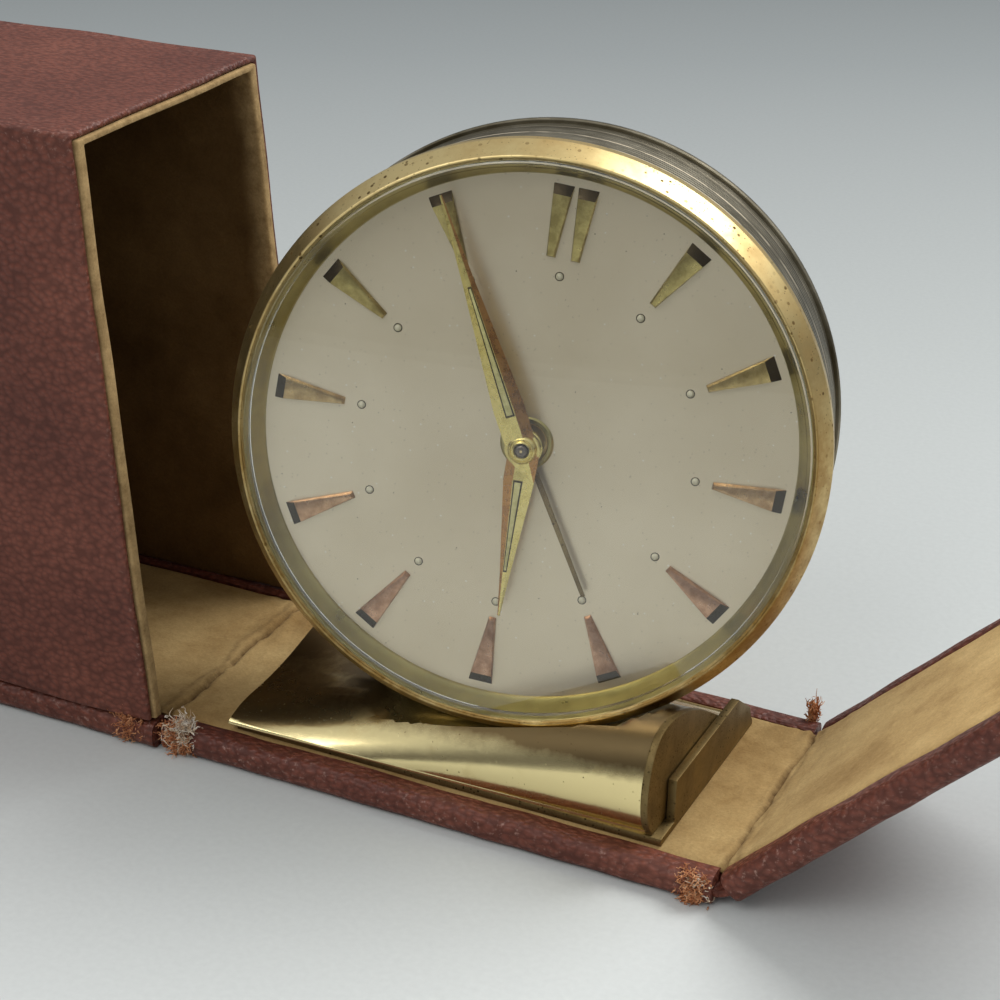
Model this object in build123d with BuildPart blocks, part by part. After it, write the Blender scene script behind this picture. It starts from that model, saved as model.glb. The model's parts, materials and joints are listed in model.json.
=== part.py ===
from build123d import *
import os
from math import atan2, cos, degrees, hypot, pi, radians, sin

os.makedirs("parts", exist_ok=True)

# A folding travel alarm clock: a round brass clock on a brass saddle in a leather case.
# All lengths are in millimetres. The origin is the middle of the base panel's underside.
# +X runs from the cover side to the flap, -Y faces the viewer and +Z is up.

# Case panels, leather over board with a lining
crease_span = 61.0
base_depth = 33.0
board_thickness = 2.2
lining_thickness = 0.8
border_width = 2.8
crease_gap = 0.4
rib_width = 0.5
rib_drop = 0.2
panel_edge_radius = 0.6
flap_length = 63.0
flap_angle = 45
flap_corner_radius = 6.0

# Cover, a box with no wall on its mouth side
cover_height = 64.5
cover_depth_inside = 30.0
side_wall = 2.0
end_wall = 1.4
cover_lining_thickness = 0.5
flap_gap = 0.2
mouth_gap = 0.4
foot_gap = 0.4
cover_lean = 0.6
wall_lean = 4.8
cover_edge_radius = 0.9

# Press stud that would hold the flap on the closed cover
snap_inset = 11.0
snap_shank_radius = 0.7
snap_neck_radius = 1.3
snap_head_radius = 1.6
snap_head_thickness = 0.5
snap_stand = 1.2
snap_ring_radius = 2.5
snap_bore_radius = 1.85
snap_ring_depth = 1.6
snap_cap_radius = 3.6
snap_cap_depth = 0.6

# Brass tray riveted to the base
tray_left = -22.8
tray_right = 23.9
tray_front = -13.4
tray_back = 12.0
tray_thickness = 0.8
rail_thickness = 0.9
rail_height = 5.4
rail_low_height = 2.6
rail_front = -10.0
rail_slope_run = 4.8
rail_tip_run = 1.0
rivet_radius = 1.2
rivet_head_radius = 1.9
rivet_head_height = 0.5
rivet_spread = 9.0
rivet_back = 8.6

# Saddle, a cone-like brass form that is low at the left and domed at the right
saddle_left = -23.4
saddle_right = 22.1
saddle_front = -13.1
saddle_depth = 24.1
saddle_height = 10.4
saddle_wall = 0.9
end_plate_thickness = 0.8
end_plate_proud = 0.15
right_end_shares = ((0, 0.03), (-0.062, 0.6), (0.035, 0.97), (0.22, 0.98), (0.61, 0.56), (1, 0.03))
left_end_shares = ((-0.04, 0.03), (0.03, 0.09), (0.23, 0.125), (0.54, 0.21), (0.79, 0.29), (1, 0.03))

# Ball joint that lets the clock turn and lean on its saddle
pivot_x = -0.8
pivot_y = -1.2
ball_radius = 1.5
ball_gap = 0.03
socket_floor = 1.5
socket_radius = 2.5
socket_lip = 0.5
socket_flange_radius = 3.4
socket_flange_thickness = 0.5
stud_radius = 0.75
stud_gap = 1.9
nut_radius = 1.8
nut_thickness = 1.1
swivel_direction = (-0.5265, 0.359, 0.7706)
swivel_angle = 18.2
swivel_steps = 4
sweep_gap = 0.35

# Drum and bezel; heights are measured from the dial's face, towards the viewer
drum_radius = 28.7
rim_step = 0.5
drum_wall = 0.8
dial_to_back = 15.7
pivot_behind_dial = 6.45
band_front = -0.9
rear_rim_width = 0.9
groove_count = 13
groove_depth = 0.22
bezel_width = 1.75
bezel_seat = 0.7
bezel_front = 3.0
bezel_face_drop = 2.0
lip_thickness = 0.35
crystal_thickness = 0.55
crystal_flange = 0.45
crystal_wall = 0.8
crystal_rise = 1.5
# Dial and its fittings
dial_play = 0.3
dial_thickness = 0.4
ring_edge_width = 0.8
ring_slope_width = 1.3
eyelet_radius = 2.3
eyelet_width = 0.3
eyelet_height = 0.15
dot_margin = 1.65
dot_radius = 0.43
dot_height = 0.25
marker_margin = 0.8
marker_length = 6.95
marker_inner_width = 0.75
marker_outer_width = 2.4
marker_height = 0.55
marker_bevel = 0.35
twin_inner_width = 0.9
twin_outer_width = 2.0
twin_gap = 0.35
foot_radius = 0.5
foot_margin = 6.2
foot_clearance = 0.05
foot_angles = (12, 168)

# Hands, with their angles clockwise from twelve
minute_angle = -28.5
minute_margin = 0.7
minute_width = 3.1
minute_tail = 3.4
minute_height = 2.4
hour_angle = 177.5
hour_length = 17.2
hour_width = 3.1
hour_tail = 2.4
hour_height = 1.65
hand_thickness = 0.22
hand_tip_width = 0.25
hand_widest_share = 0.2
alarm_angle = 148.2
alarm_length = 15.9
alarm_width = 0.6
alarm_height = 1.0
collet_radius = 1.4
collet_thickness = 0.55
pin_stand = 0.75

# Nested pipes at the centre, each running on the one inside it
centre_arbor_radius = 0.5
running_gap = 0.04
pipe_wall = 0.36

# Wheels under the dial
alarm_wheel_radius = 8.6
alarm_wheel_back = -1.0
hour_wheel_radius = 5.5
hour_wheel_back = -1.65
minute_wheel_back = -2.3
thin_wheel = 0.3
cannon_radius = 1.7
minute_post_distance = 6.9
mesh_gap = 0.12

cannon_teeth = 10
minute_wheel_teeth = 30
minute_pinion_teeth = 8
hour_wheel_teeth = 32
alarm_wheel_teeth = 40

# Movement between two plates
front_plate_front = -2.8
plate_thickness = 0.8
plate_spacing = 6.2
front_plate_play = 0.2
back_plate_play = 0.4
pillar_radius = 1.6
pillar_margin = 2.6
pillar_angles = (90, 225, 315)
tooth_depth = 0.7
fine_tooth_depth = 0.4
wheel_thickness = 0.5
arbor_radius = 0.4
arbor_gap = 0.05
barrel_spread = 12.5
barrel_rise = 1.0
key_arbor_radius = 1.0
key_arbor_gap = 0.05
centre_pinion_radius = 2.4
great_wheel_thickness = 0.8
spring_inner_radius = 1.7
spring_outer_radius = 6.3
spring_strip = 0.3
spring_turns = 6
spring_width = 3.0
centre_wheel_radius = 5.6
third_pinion_radius = 1.2
third_x = 2.0
third_wheel_radius = 4.2
escape_pinion_radius = 0.9
escape_x = -2.0
escape_wheel_radius = 3.0
pallet_x = -5.6
pallet_y = -12.4
pallet_arm = 3.6
pallet_width = 1.0
balance_x = -1.0
balance_y = -17.0
balance_radius = 4.1
balance_rim = 0.8
roller_radius = 0.8
hairspring_inner_radius = 0.8
hairspring_outer_radius = 2.7
hairspring_strip = 0.1
hairspring_turns = 6
hairspring_width = 0.35
alarm_escape_x = 6.5
alarm_pinion_radius = 1.0
alarm_escape_radius = 2.4
hammer_x = 9.0
hammer_y = -12.5
hammer_head_radius = 1.1
hammer_gap = 1.8
hammer_lean = 50
gong_room = 3.1
gong_thickness = 1.8
gong_width = 3.4
gong_post_radius = 0.8
gong_post_angle = 50

great_wheel_teeth = 48
centre_pinion_teeth = 10
centre_wheel_teeth = 40
third_pinion_teeth = 8
third_wheel_teeth = 32
escape_pinion_teeth = 7
escape_wheel_teeth = 15

# Back of the clock
cover_recess = 3.0
cover_plate_thickness = 0.7
cover_fit_gap = 0.05
screw_radius = 0.7
screw_head_radius = 1.4
screw_head_height = 0.6
screw_slot_width = 0.4
key_hub_radius = 2.2
key_hub_height = 2.2
key_stand = 0.3
bow_inner_radius = 3.0
bow_outer_radius = 4.6
bow_thickness = 0.9
bow_pin_radius = 0.5
bow_end = 0.8
knob_radius = 3.2
alarm_knob_radius = 2.6
knob_height = 2.0
knob_notches = 20
knob_notch_radius = 0.25
alarm_set_teeth = 13
alarm_set_y = 11.5
alarm_set_arbor_radius = 0.5
button_x = 8.0
button_y = 17.0
button_radius = 1.3
button_collar = 0.6
button_collar_thickness = 0.3
button_stand = 1.5
lever_inner_radius = 1.4
lever_outer_radius = 2.2
lever_pin_distance = 4.5
lever_pin_radius = 0.5
lever_thickness = 0.4
lever_stand = 0.7
lever_width = 1.0
lever_swing = 32

# Fits and cuts used all over
fit_gap = 0.08
overrun = 0.5

# Places that follow from the sizes above
lining_level = board_thickness + lining_thickness
half_span = crease_span / 2
tray_top = lining_level + tray_thickness
cover_side = cover_depth_inside / 2
inner_span = crease_span - flap_gap - end_wall
snap_distance = flap_length - snap_inset
wall_run = sin(radians(wall_lean)) / cos(radians(wall_lean))
fold_x = -(half_span + cover_height)
pivot_z = board_thickness + socket_floor + ball_gap + ball_radius
pivot = Vector(pivot_x, pivot_y, pivot_z)
pivot_to_centre = drum_radius + stud_gap
rim_radius = drum_radius + rim_step
bezel_inner_radius = rim_radius - bezel_width
bezel_bore_radius = drum_radius - bezel_seat
dial_radius = bezel_bore_radius - dial_play
ring_top_radius = bezel_bore_radius - ring_edge_width
dial_window_radius = ring_top_radius - ring_slope_width
marker_outer_radius = dial_window_radius - marker_margin
marker_inner_radius = marker_outer_radius - marker_length
dot_circle_radius = marker_inner_radius - dot_margin
foot_circle_radius = dial_radius - foot_margin
minute_length = dial_window_radius - minute_margin
front_plate_radius = drum_radius - drum_wall - front_plate_play
gong_outer_radius = drum_radius - drum_wall - gong_room
gong_inner_radius = gong_outer_radius - gong_thickness
back_plate_radius = gong_inner_radius - back_plate_play
pillar_circle_radius = back_plate_radius - pillar_margin
hammer_head_circle_radius = gong_inner_radius - hammer_gap
front_plate_back = front_plate_front - plate_thickness
back_plate_front = front_plate_back - plate_spacing
back_plate_back = back_plate_front - plate_thickness
cover_plate_back = -(dial_to_back - cover_recess)
cover_plate_front = cover_plate_back + cover_plate_thickness
key_base = cover_plate_back - key_stand
key_top = key_base - key_hub_height
bow_level = (key_base + key_top) / 2
cannon_bore = centre_arbor_radius + running_gap
cannon_pipe = cannon_bore + pipe_wall
hour_bore = cannon_pipe + running_gap
hour_pipe = hour_bore + pipe_wall
alarm_bore = hour_pipe + running_gap
alarm_pipe = alarm_bore + pipe_wall
barrel_distance = hypot(barrel_spread, barrel_rise)
great_wheel_radius = barrel_distance - centre_pinion_radius - mesh_gap
third_distance = centre_wheel_radius + third_pinion_radius + mesh_gap
third_y = -(third_distance**2 - third_x**2) ** 0.5
escape_distance = third_wheel_radius + escape_pinion_radius + mesh_gap
escape_y = third_y - (escape_distance**2 - (third_x - escape_x) ** 2) ** 0.5
alarm_escape_distance = great_wheel_radius + alarm_pinion_radius + mesh_gap
alarm_escape_y = barrel_rise - (alarm_escape_distance**2 - (barrel_spread - alarm_escape_x) ** 2) ** 0.5
crystal_front = bezel_front - lip_thickness
crystal_back = crystal_front - crystal_flange
crystal_edge = bezel_inner_radius - fit_gap
crystal_inside = crystal_edge - crystal_thickness
shoulder = crystal_back + crystal_wall
outer_shoulder = shoulder + crystal_thickness / 2
crystal_top = shoulder + crystal_rise + crystal_thickness
minute_pinion_radius = minute_post_distance - hour_wheel_radius - mesh_gap
alarm_set_pinion_radius = alarm_set_y - alarm_wheel_radius - mesh_gap


def clock_place(turn):
    """Give the dial's plane with the clock turned by this many degrees on its ball joint."""
    square = Plane(
        origin=pivot + Vector(0, -pivot_behind_dial, pivot_to_centre),
        x_dir=(1, 0, 0),
        z_dir=(0, -1, 0),
    )
    swivel = Location(pivot) * Location((0, 0, 0), swivel_direction, turn) * Location(-pivot)
    return Plane(swivel * square.location)


dial_plane = clock_place(swivel_angle)


def face(height=0, x=0, y=0, turn=0, place=dial_plane):
    """Give a plane parallel to the dial, this far in front of its face and turned by this angle."""
    origin = place.from_local_coords((x, y, height))
    x_dir = place.x_dir * cos(radians(turn)) + place.y_dir * sin(radians(turn))
    return Plane(origin=origin, x_dir=x_dir, z_dir=place.z_dir)


def section(x=0, y=0):
    """Give a plane through an arbor line, with radius along it and height up it."""
    origin = dial_plane.from_local_coords((x, y, 0))
    return Plane(origin=origin, x_dir=dial_plane.x_dir, z_dir=-dial_plane.y_dir)


def arbor_line(x=0, y=0):
    """Give the axis square to the dial through a place on it."""
    return Axis(dial_plane.from_local_coords((x, y, 0)), dial_plane.z_dir)


def disc(radius, back, front, x=0, y=0, mode=Mode.ADD):
    """Add or cut a round slab parallel to the dial."""
    with BuildSketch(face(back, x, y)) as outline:
        Circle(radius)
    extrude(outline.sketch, amount=front - back, mode=mode)


def turned(points, x=0, y=0, mode=Mode.ADD):
    """Turn an outline of radius and height points about an arbor line."""
    with BuildSketch(section(x, y)) as outline:
        with BuildLine():
            Polyline(*points, close=True)
        make_face()
    revolve(outline.sketch, axis=arbor_line(x, y), mode=mode)


def toothed(radius, depth, teeth, back, front, x=0, y=0):
    """Add a toothed disc whose tips reach the radius."""
    step = 2 * pi / teeth
    tooth_shares = ((0, 0), (0.3, 1), (0.55, 1), (0.85, 0))
    points = []
    for tooth in range(teeth):
        for turn_share, height_share in tooth_shares:
            angle = (tooth + turn_share) * step
            reach = radius - depth * (1 - height_share)
            points.append((reach * cos(angle), reach * sin(angle)))
    with BuildSketch(face(back, x, y)) as outline:
        Polygon(*points, align=None)
    extrude(outline.sketch, amount=front - back)


def spiral(inner, outer, strip, turns, back, front, x, y):
    """Add a flat spring wound as half circles about two centres that lie a little apart."""
    pitch = (outer - inner) / turns
    shift = pitch / 4
    last_radius = inner + pitch * (turns - 1 / 2)
    with BuildSketch(face(back, x, y)) as outline:
        with BuildLine():
            for side in (0, strip):
                radius = inner + side
                for half in range(2 * turns):
                    centre = -shift if half % 2 == 0 else shift
                    CenterArc((centre, 0), radius, 180 * (half % 2), 180)
                    radius += pitch / 2
            Line((inner - shift, 0), (inner - shift + strip, 0))
            Line((last_radius + shift, 0), (last_radius + shift + strip, 0))
        make_face()
    extrude(outline.sketch, amount=front - back)


def save(piece, name):
    """Label a finished piece and write it to its file."""
    piece.part.label = name
    export_step(piece.part, f"parts/{name}.step")


# Base panel, its lining and the leather ribs at the two creases
panel_half = half_span - crease_gap
with BuildPart() as base_panel:
    with BuildSketch():
        Rectangle(2 * panel_half, base_depth)
    extrude(amount=board_thickness)
    fillet(base_panel.edges().filter_by(Axis.X).group_by(Axis.Z)[0], panel_edge_radius)
    with BuildSketch(Plane.XY.offset(board_thickness)):
        with Locations((-rivet_spread, rivet_back), (rivet_spread, rivet_back)):
            Circle(rivet_radius)
    extrude(amount=-board_thickness / 2, mode=Mode.SUBTRACT)
save(base_panel, "base_panel")

with BuildPart() as base_lining:
    with BuildSketch(Plane.XY.offset(board_thickness)):
        Rectangle(2 * panel_half, base_depth - 2 * border_width)
        with Locations((pivot_x, pivot_y)):
            Circle(socket_radius + overrun / 2, mode=Mode.SUBTRACT)
        with Locations((-rivet_spread, rivet_back), (rivet_spread, rivet_back)):
            Circle(rivet_radius, mode=Mode.SUBTRACT)
    extrude(amount=lining_thickness)
save(base_lining, "base_lining")

with BuildPart() as crease_ribs:
    with BuildSketch():
        with Locations((-half_span, 0), (half_span, 0)):
            Rectangle(rib_width, base_depth)
    extrude(amount=lining_level - rib_drop)
save(crease_ribs, "crease_ribs")

# Spine panel, which lies to the left of the base while the case is open
spine_end = cover_height + side_wall
with BuildPart() as spine_panel:
    with BuildSketch():
        with Locations((-(half_span + (crease_gap + spine_end) / 2), 0)):
            Rectangle(spine_end - crease_gap, 2 * (cover_side + side_wall))
    extrude(amount=board_thickness)
    fillet(spine_panel.edges().filter_by(Axis.X).group_by(Axis.Z)[0], panel_edge_radius)
save(spine_panel, "spine_panel")

with BuildPart() as spine_lining:
    with BuildSketch(Plane.XY.offset(board_thickness)):
        with Locations((-(half_span + (crease_gap + cover_height - mouth_gap) / 2), 0)):
            Rectangle(cover_height - mouth_gap - crease_gap, base_depth - 2 * border_width)
    extrude(amount=lining_thickness)
save(spine_lining, "spine_lining")

# Cover, drawn in its own plane from the fold at the far left, with its height up from the spine
fold = Plane(
    origin=(fold_x, 0, lining_level),
    x_dir=(cos(radians(cover_lean)), 0, sin(radians(cover_lean))),
    z_dir=(0, -1, 0),
)
cover_foot = -(lining_thickness - foot_gap)
cover_mouth = cover_height - mouth_gap
shell_side = cover_side + cover_lining_thickness
wall_top = inner_span + end_wall
stud_along = cover_height - snap_distance - wall_top * wall_run


def slab(left, low, right, high, half_depth, mode=Mode.ADD):
    """Add or cut a block that leans back in the cover's plane, half to each side of the middle."""
    corners = [(left, low), (right, low), (right, high), (left, high)]
    with BuildSketch(fold) as outline:
        Polygon(*[(along - up * wall_run, up) for along, up in corners], align=None)
    extrude(outline.sketch, amount=half_depth, both=True, mode=mode)


with BuildPart() as cover_shell:
    slab(-side_wall, cover_foot, cover_mouth, wall_top, cover_side + side_wall)
    along = Axis(fold.origin, fold.x_dir)
    upward = Axis(fold.origin, fold.y_dir)
    leaning = Axis(fold.origin, fold.y_dir - fold.x_dir * wall_run)
    fillet(cover_shell.edges().filter_by(along).sort_by(upward)[-2:], cover_edge_radius)
    fillet(cover_shell.edges().filter_by(leaning).sort_by(along)[:2], cover_edge_radius)
    slab(
        -cover_lining_thickness,
        cover_foot - overrun,
        cover_mouth + overrun,
        inner_span + cover_lining_thickness,
        shell_side,
        Mode.SUBTRACT,
    )
    with BuildSketch(Plane(fold.from_local_coords((stud_along, wall_top, 0)), fold.x_dir, fold.y_dir)):
        Circle(snap_shank_radius + fit_gap)
    extrude(amount=-(end_wall - cover_lining_thickness + overrun / 2), mode=Mode.SUBTRACT)
save(cover_shell, "cover_shell")

with BuildPart() as cover_lining:
    slab(
        -cover_lining_thickness,
        cover_foot,
        cover_mouth,
        inner_span + cover_lining_thickness,
        shell_side,
    )
    slab(0, cover_foot - overrun, cover_mouth + overrun, inner_span, cover_side, Mode.SUBTRACT)
save(cover_lining, "cover_lining")

with BuildPart() as snap_stud:
    stud_face = Plane(fold.from_local_coords((stud_along, wall_top, 0)), fold.x_dir, fold.y_dir)
    with BuildSketch(stud_face.offset(-(end_wall - cover_lining_thickness))):
        Circle(snap_shank_radius)
    extrude(amount=end_wall - cover_lining_thickness)
    with BuildSketch(stud_face):
        Circle(snap_neck_radius)
    extrude(amount=snap_stand - snap_head_thickness)
    with BuildSketch(stud_face.offset(snap_stand - snap_head_thickness)):
        Circle(snap_head_radius)
    extrude(amount=snap_head_thickness)
    stud_top = snap_stud.faces().sort_by(Axis(stud_face.origin, stud_face.z_dir))[-1]
    fillet(stud_top.edges(), snap_head_thickness / 3)
save(snap_stud, "snap_stud")

# Flap, drawn in its own plane from the right crease
flap_plane = Plane(
    origin=(half_span, 0, lining_level),
    x_dir=(cos(radians(flap_angle)), 0, sin(radians(flap_angle))),
    z_dir=(-sin(radians(flap_angle)), 0, cos(radians(flap_angle))),
)
snap_middle = flap_plane.from_local_coords((snap_distance, 0, 0))
snap_plane = Plane(snap_middle, flap_plane.x_dir, flap_plane.z_dir)
with BuildPart() as flap_panel:
    with BuildSketch(flap_plane.offset(-lining_level)):
        with Locations(((crease_gap + flap_length) / 2, 0)):
            Rectangle(flap_length - crease_gap, base_depth)
    extrude(amount=board_thickness)
    tips = flap_panel.edges().filter_by(Axis(flap_plane.origin, flap_plane.z_dir))
    fillet(tips.sort_by(Axis(flap_plane.origin, flap_plane.x_dir))[-2:], flap_corner_radius)
    with BuildSketch(snap_plane.offset(-lining_thickness)):
        Circle(snap_ring_radius + fit_gap)
    extrude(amount=-(snap_ring_depth - lining_thickness + fit_gap), mode=Mode.SUBTRACT)
    with BuildSketch(snap_plane.offset(-lining_thickness)):
        Circle(snap_shank_radius + fit_gap)
    extrude(amount=-board_thickness, mode=Mode.SUBTRACT)
    with BuildSketch(snap_plane.offset(-lining_level)):
        Circle(snap_cap_radius)
    extrude(amount=snap_cap_depth, mode=Mode.SUBTRACT)
save(flap_panel, "flap_panel")

lining_end = flap_length - border_width
with BuildPart() as flap_lining:
    with BuildSketch(flap_plane.offset(-lining_thickness)):
        with Locations(((crease_gap + lining_end) / 2, 0)):
            Rectangle(lining_end - crease_gap, base_depth - 2 * border_width)
    extrude(amount=lining_thickness)
    with BuildSketch(snap_plane):
        Circle(snap_ring_radius + fit_gap)
    extrude(amount=-lining_thickness, mode=Mode.SUBTRACT)
save(flap_lining, "flap_lining")

with BuildPart() as snap_socket:
    with BuildSketch(snap_plane.offset(-snap_ring_depth)):
        Circle(snap_ring_radius)
    extrude(amount=snap_ring_depth)
    with BuildSketch(snap_plane):
        Circle(snap_bore_radius)
    extrude(amount=-(snap_stand + fit_gap), mode=Mode.SUBTRACT)
    with BuildSketch(snap_plane.offset(-snap_ring_depth)):
        Circle(snap_shank_radius)
    extrude(amount=-(lining_level - snap_ring_depth))
    with BuildSketch(snap_plane.offset(-lining_level)):
        Circle(snap_cap_radius - fit_gap)
    extrude(amount=snap_cap_depth)
save(snap_socket, "snap_socket")

# Brass tray with a rail along its right side
with BuildPart() as tray:
    with BuildSketch(Plane.XY.offset(lining_level)):
        with Locations(((tray_left + tray_right) / 2, (tray_front + tray_back) / 2)):
            Rectangle(tray_right - tray_left, tray_back - tray_front)
        with Locations((pivot_x, pivot_y)):
            Circle(socket_radius + fit_gap, mode=Mode.SUBTRACT)
        with Locations((-rivet_spread, rivet_back), (rivet_spread, rivet_back)):
            Circle(rivet_radius + fit_gap, mode=Mode.SUBTRACT)
    extrude(amount=tray_thickness)
    with BuildSketch(Plane.YZ.offset(tray_right - rail_thickness)):
        with BuildLine():
            Polyline(
                (rail_front, lining_level),
                (rail_front, lining_level + rail_height),
                (tray_back - rail_slope_run, lining_level + rail_height),
                (tray_back - rail_tip_run, lining_level + rail_low_height),
                (tray_back, lining_level),
                close=True,
            )
        make_face()
    extrude(amount=rail_thickness)
save(tray, "tray")

with BuildPart() as tray_rivets:
    with BuildSketch(Plane.XY.offset(board_thickness / 2)):
        with Locations((-rivet_spread, rivet_back), (rivet_spread, rivet_back)):
            Circle(rivet_radius)
    extrude(amount=tray_top - board_thickness / 2)
    with BuildSketch(Plane.XY.offset(tray_top)):
        with Locations((-rivet_spread, rivet_back), (rivet_spread, rivet_back)):
            Circle(rivet_head_radius)
    extrude(amount=rivet_head_height)
save(tray_rivets, "tray_rivets")


# Saddle, lofted between its two ends, with a seat that clears the drum over its whole swivel
def end_outline(plane, shares, front, depth, height):
    """Draw one end of the saddle as a smooth line over a flat foot."""
    with BuildSketch(plane) as outline:
        with BuildLine():
            points = [(front + y * depth, tray_top + z * height) for y, z in shares]
            Spline(*points)
            Line(points[-1], (points[-1][0], tray_top))
            Line((points[-1][0], tray_top), (points[0][0], tray_top))
            Line((points[0][0], tray_top), points[0])
        make_face()
    return outline.sketch


def dome_radius(reach, rise):
    """Give the sphere radius of a cap with this reach and rise."""
    return (reach**2 + rise**2) / (2 * rise)


def clock_envelope(gap):
    """Give a solid that the clock fits in with this gap, standing on its back."""
    with BuildPart() as envelope:
        with BuildSketch(Plane.XZ):
            with BuildLine():
                dome = dome_radius(crystal_edge + gap, crystal_top - outer_shoulder)
                RadiusArc((0, crystal_top + gap), (crystal_edge + gap, outer_shoulder + gap), dome)
                Polyline(
                    (crystal_edge + gap, outer_shoulder + gap),
                    (crystal_edge + gap, bezel_front + gap),
                    (rim_radius + gap, bezel_front + gap),
                    (rim_radius + gap, -(dial_to_back + gap)),
                    (0, -(dial_to_back + gap)),
                    (0, crystal_top + gap),
                )
            make_face()
        revolve(axis=Axis.Z)
    return envelope.part


tight_envelope = clock_envelope(sweep_gap)
wide_envelope = clock_envelope(sweep_gap + saddle_wall)


def clear_drum(envelope):
    """Cut the space that the clock sweeps as it turns on its ball joint."""
    for step in range(swivel_steps + 1):
        place = clock_place(swivel_angle * step / swivel_steps)
        add(envelope.moved(place.location), mode=Mode.SUBTRACT)


with BuildPart() as hollow:
    inner_front = saddle_front + saddle_wall
    inner_depth = saddle_depth - 2 * saddle_wall
    inner_height = saddle_height - saddle_wall
    loft(
        [
            end_outline(
                Plane.YZ.offset(saddle_left + 2 * saddle_wall),
                left_end_shares,
                inner_front,
                inner_depth,
                inner_height,
            ),
            end_outline(
                Plane.YZ.offset(saddle_right + overrun),
                right_end_shares,
                inner_front,
                inner_depth,
                inner_height,
            ),
        ]
    )
    clear_drum(wide_envelope)

with BuildPart() as saddle:
    loft(
        [
            end_outline(
                Plane.YZ.offset(saddle_left), left_end_shares, saddle_front, saddle_depth, saddle_height
            ),
            end_outline(
                Plane.YZ.offset(saddle_right), right_end_shares, saddle_front, saddle_depth, saddle_height
            ),
        ]
    )
    clear_drum(tight_envelope)
    add(hollow.part, mode=Mode.SUBTRACT)
    with BuildSketch(Plane.XY.offset(tray_top)):
        with Locations((pivot_x, pivot_y)):
            Circle(socket_flange_radius + overrun)
        with Locations((-rivet_spread, rivet_back), (rivet_spread, rivet_back)):
            Circle(rivet_head_radius + fit_gap)
    extrude(amount=saddle_height, mode=Mode.SUBTRACT)
save(saddle, "saddle")

with BuildPart() as saddle_end_plate:
    extrude(
        end_outline(
            Plane.YZ.offset(saddle_right),
            right_end_shares,
            saddle_front - end_plate_proud,
            saddle_depth + end_plate_proud,
            saddle_height + end_plate_proud,
        ),
        amount=end_plate_thickness,
    )
    clear_drum(tight_envelope)
save(saddle_end_plate, "saddle_end_plate")

# Ball socket in the base and the stud that carries the drum on it
with BuildPart() as ball_socket:
    with BuildSketch(Plane.XY.offset(board_thickness)):
        with Locations((pivot_x, pivot_y)):
            Circle(socket_radius)
    extrude(amount=pivot_z + socket_lip - board_thickness)
    with BuildSketch(Plane.XY.offset(tray_top)):
        with Locations((pivot_x, pivot_y)):
            Circle(socket_flange_radius)
    extrude(amount=socket_flange_thickness)
    with Locations(pivot):
        Sphere(ball_radius + ball_gap, mode=Mode.SUBTRACT)
save(ball_socket, "ball_socket")

stud_plane = Plane(origin=pivot, x_dir=dial_plane.x_dir, z_dir=dial_plane.y_dir)
with BuildPart() as ball_stud:
    with Locations(pivot):
        Sphere(ball_radius)
    with BuildSketch(stud_plane):
        Circle(stud_radius)
    extrude(amount=stud_gap + drum_wall + nut_thickness + overrun)
save(ball_stud, "ball_stud")

with BuildPart() as stud_nut:
    with BuildSketch(stud_plane.offset(stud_gap + drum_wall + 2 * fit_gap)):
        RegularPolygon(nut_radius, 6)
        Circle(stud_radius, mode=Mode.SUBTRACT)
    extrude(amount=nut_thickness)
save(stud_nut, "stud_nut")

# Drum band with fine grooves between its front edge and its rear rim
rear_rim_front = -(dial_to_back - rear_rim_width)
groove_pitch = (band_front - rear_rim_front) / (groove_count + 1)
band_points = [(drum_radius - drum_wall, band_front), (drum_radius, band_front)]
for groove in range(groove_count):
    middle = band_front - (groove + 1) * groove_pitch
    band_points.append((drum_radius, middle + groove_pitch / 4))
    band_points.append((drum_radius - groove_depth, middle))
    band_points.append((drum_radius, middle - groove_pitch / 4))
band_points += [
    (drum_radius, rear_rim_front),
    (rim_radius, rear_rim_front),
    (rim_radius, -dial_to_back),
    (drum_radius - drum_wall, -dial_to_back),
]
with BuildPart() as drum_band:
    turned(band_points)
    with BuildSketch(stud_plane):
        Circle(stud_radius)
    extrude(amount=stud_gap + 2 * drum_wall, mode=Mode.SUBTRACT)
save(drum_band, "drum_band")

# Bezel, crystal and the bright ring round the dial
with BuildPart() as bezel:
    turned(
        [
            (bezel_bore_radius, band_front),
            (rim_radius, band_front),
            (rim_radius, bezel_front - bezel_face_drop),
            (bezel_inner_radius + lip_thickness, bezel_front),
            (bezel_inner_radius, bezel_front - lip_thickness / 2),
            (bezel_inner_radius, crystal_front),
            (bezel_bore_radius, crystal_front),
        ]
    )
save(bezel, "bezel")

with BuildPart() as crystal_blank:
    with BuildSketch(Plane.XZ):
        with BuildLine():
            Line((0, shoulder + crystal_rise), (0, crystal_top))
            outer_dome = dome_radius(crystal_edge, crystal_rise + crystal_thickness / 2)
            RadiusArc((0, crystal_top), (crystal_edge, outer_shoulder), outer_dome)
            Polyline(
                (crystal_edge, outer_shoulder),
                (crystal_edge, crystal_front),
                (bezel_bore_radius - fit_gap, crystal_front),
                (bezel_bore_radius - fit_gap, crystal_back),
                (crystal_inside, crystal_back),
                (crystal_inside, shoulder),
            )
            inner_dome = dome_radius(crystal_inside, crystal_rise)
            RadiusArc((0, shoulder + crystal_rise), (crystal_inside, shoulder), inner_dome)
        make_face()
    revolve(axis=Axis.Z)

with BuildPart() as crystal:
    add(crystal_blank.part.moved(dial_plane.location))
save(crystal, "crystal")

with BuildPart() as inner_ring:
    turned(
        [
            (dial_window_radius, 0),
            (bezel_bore_radius - fit_gap, 0),
            (bezel_bore_radius - fit_gap, crystal_back),
            (ring_top_radius, crystal_back),
            (dial_window_radius, marker_height / 2),
        ]
    )
save(inner_ring, "inner_ring")

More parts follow.
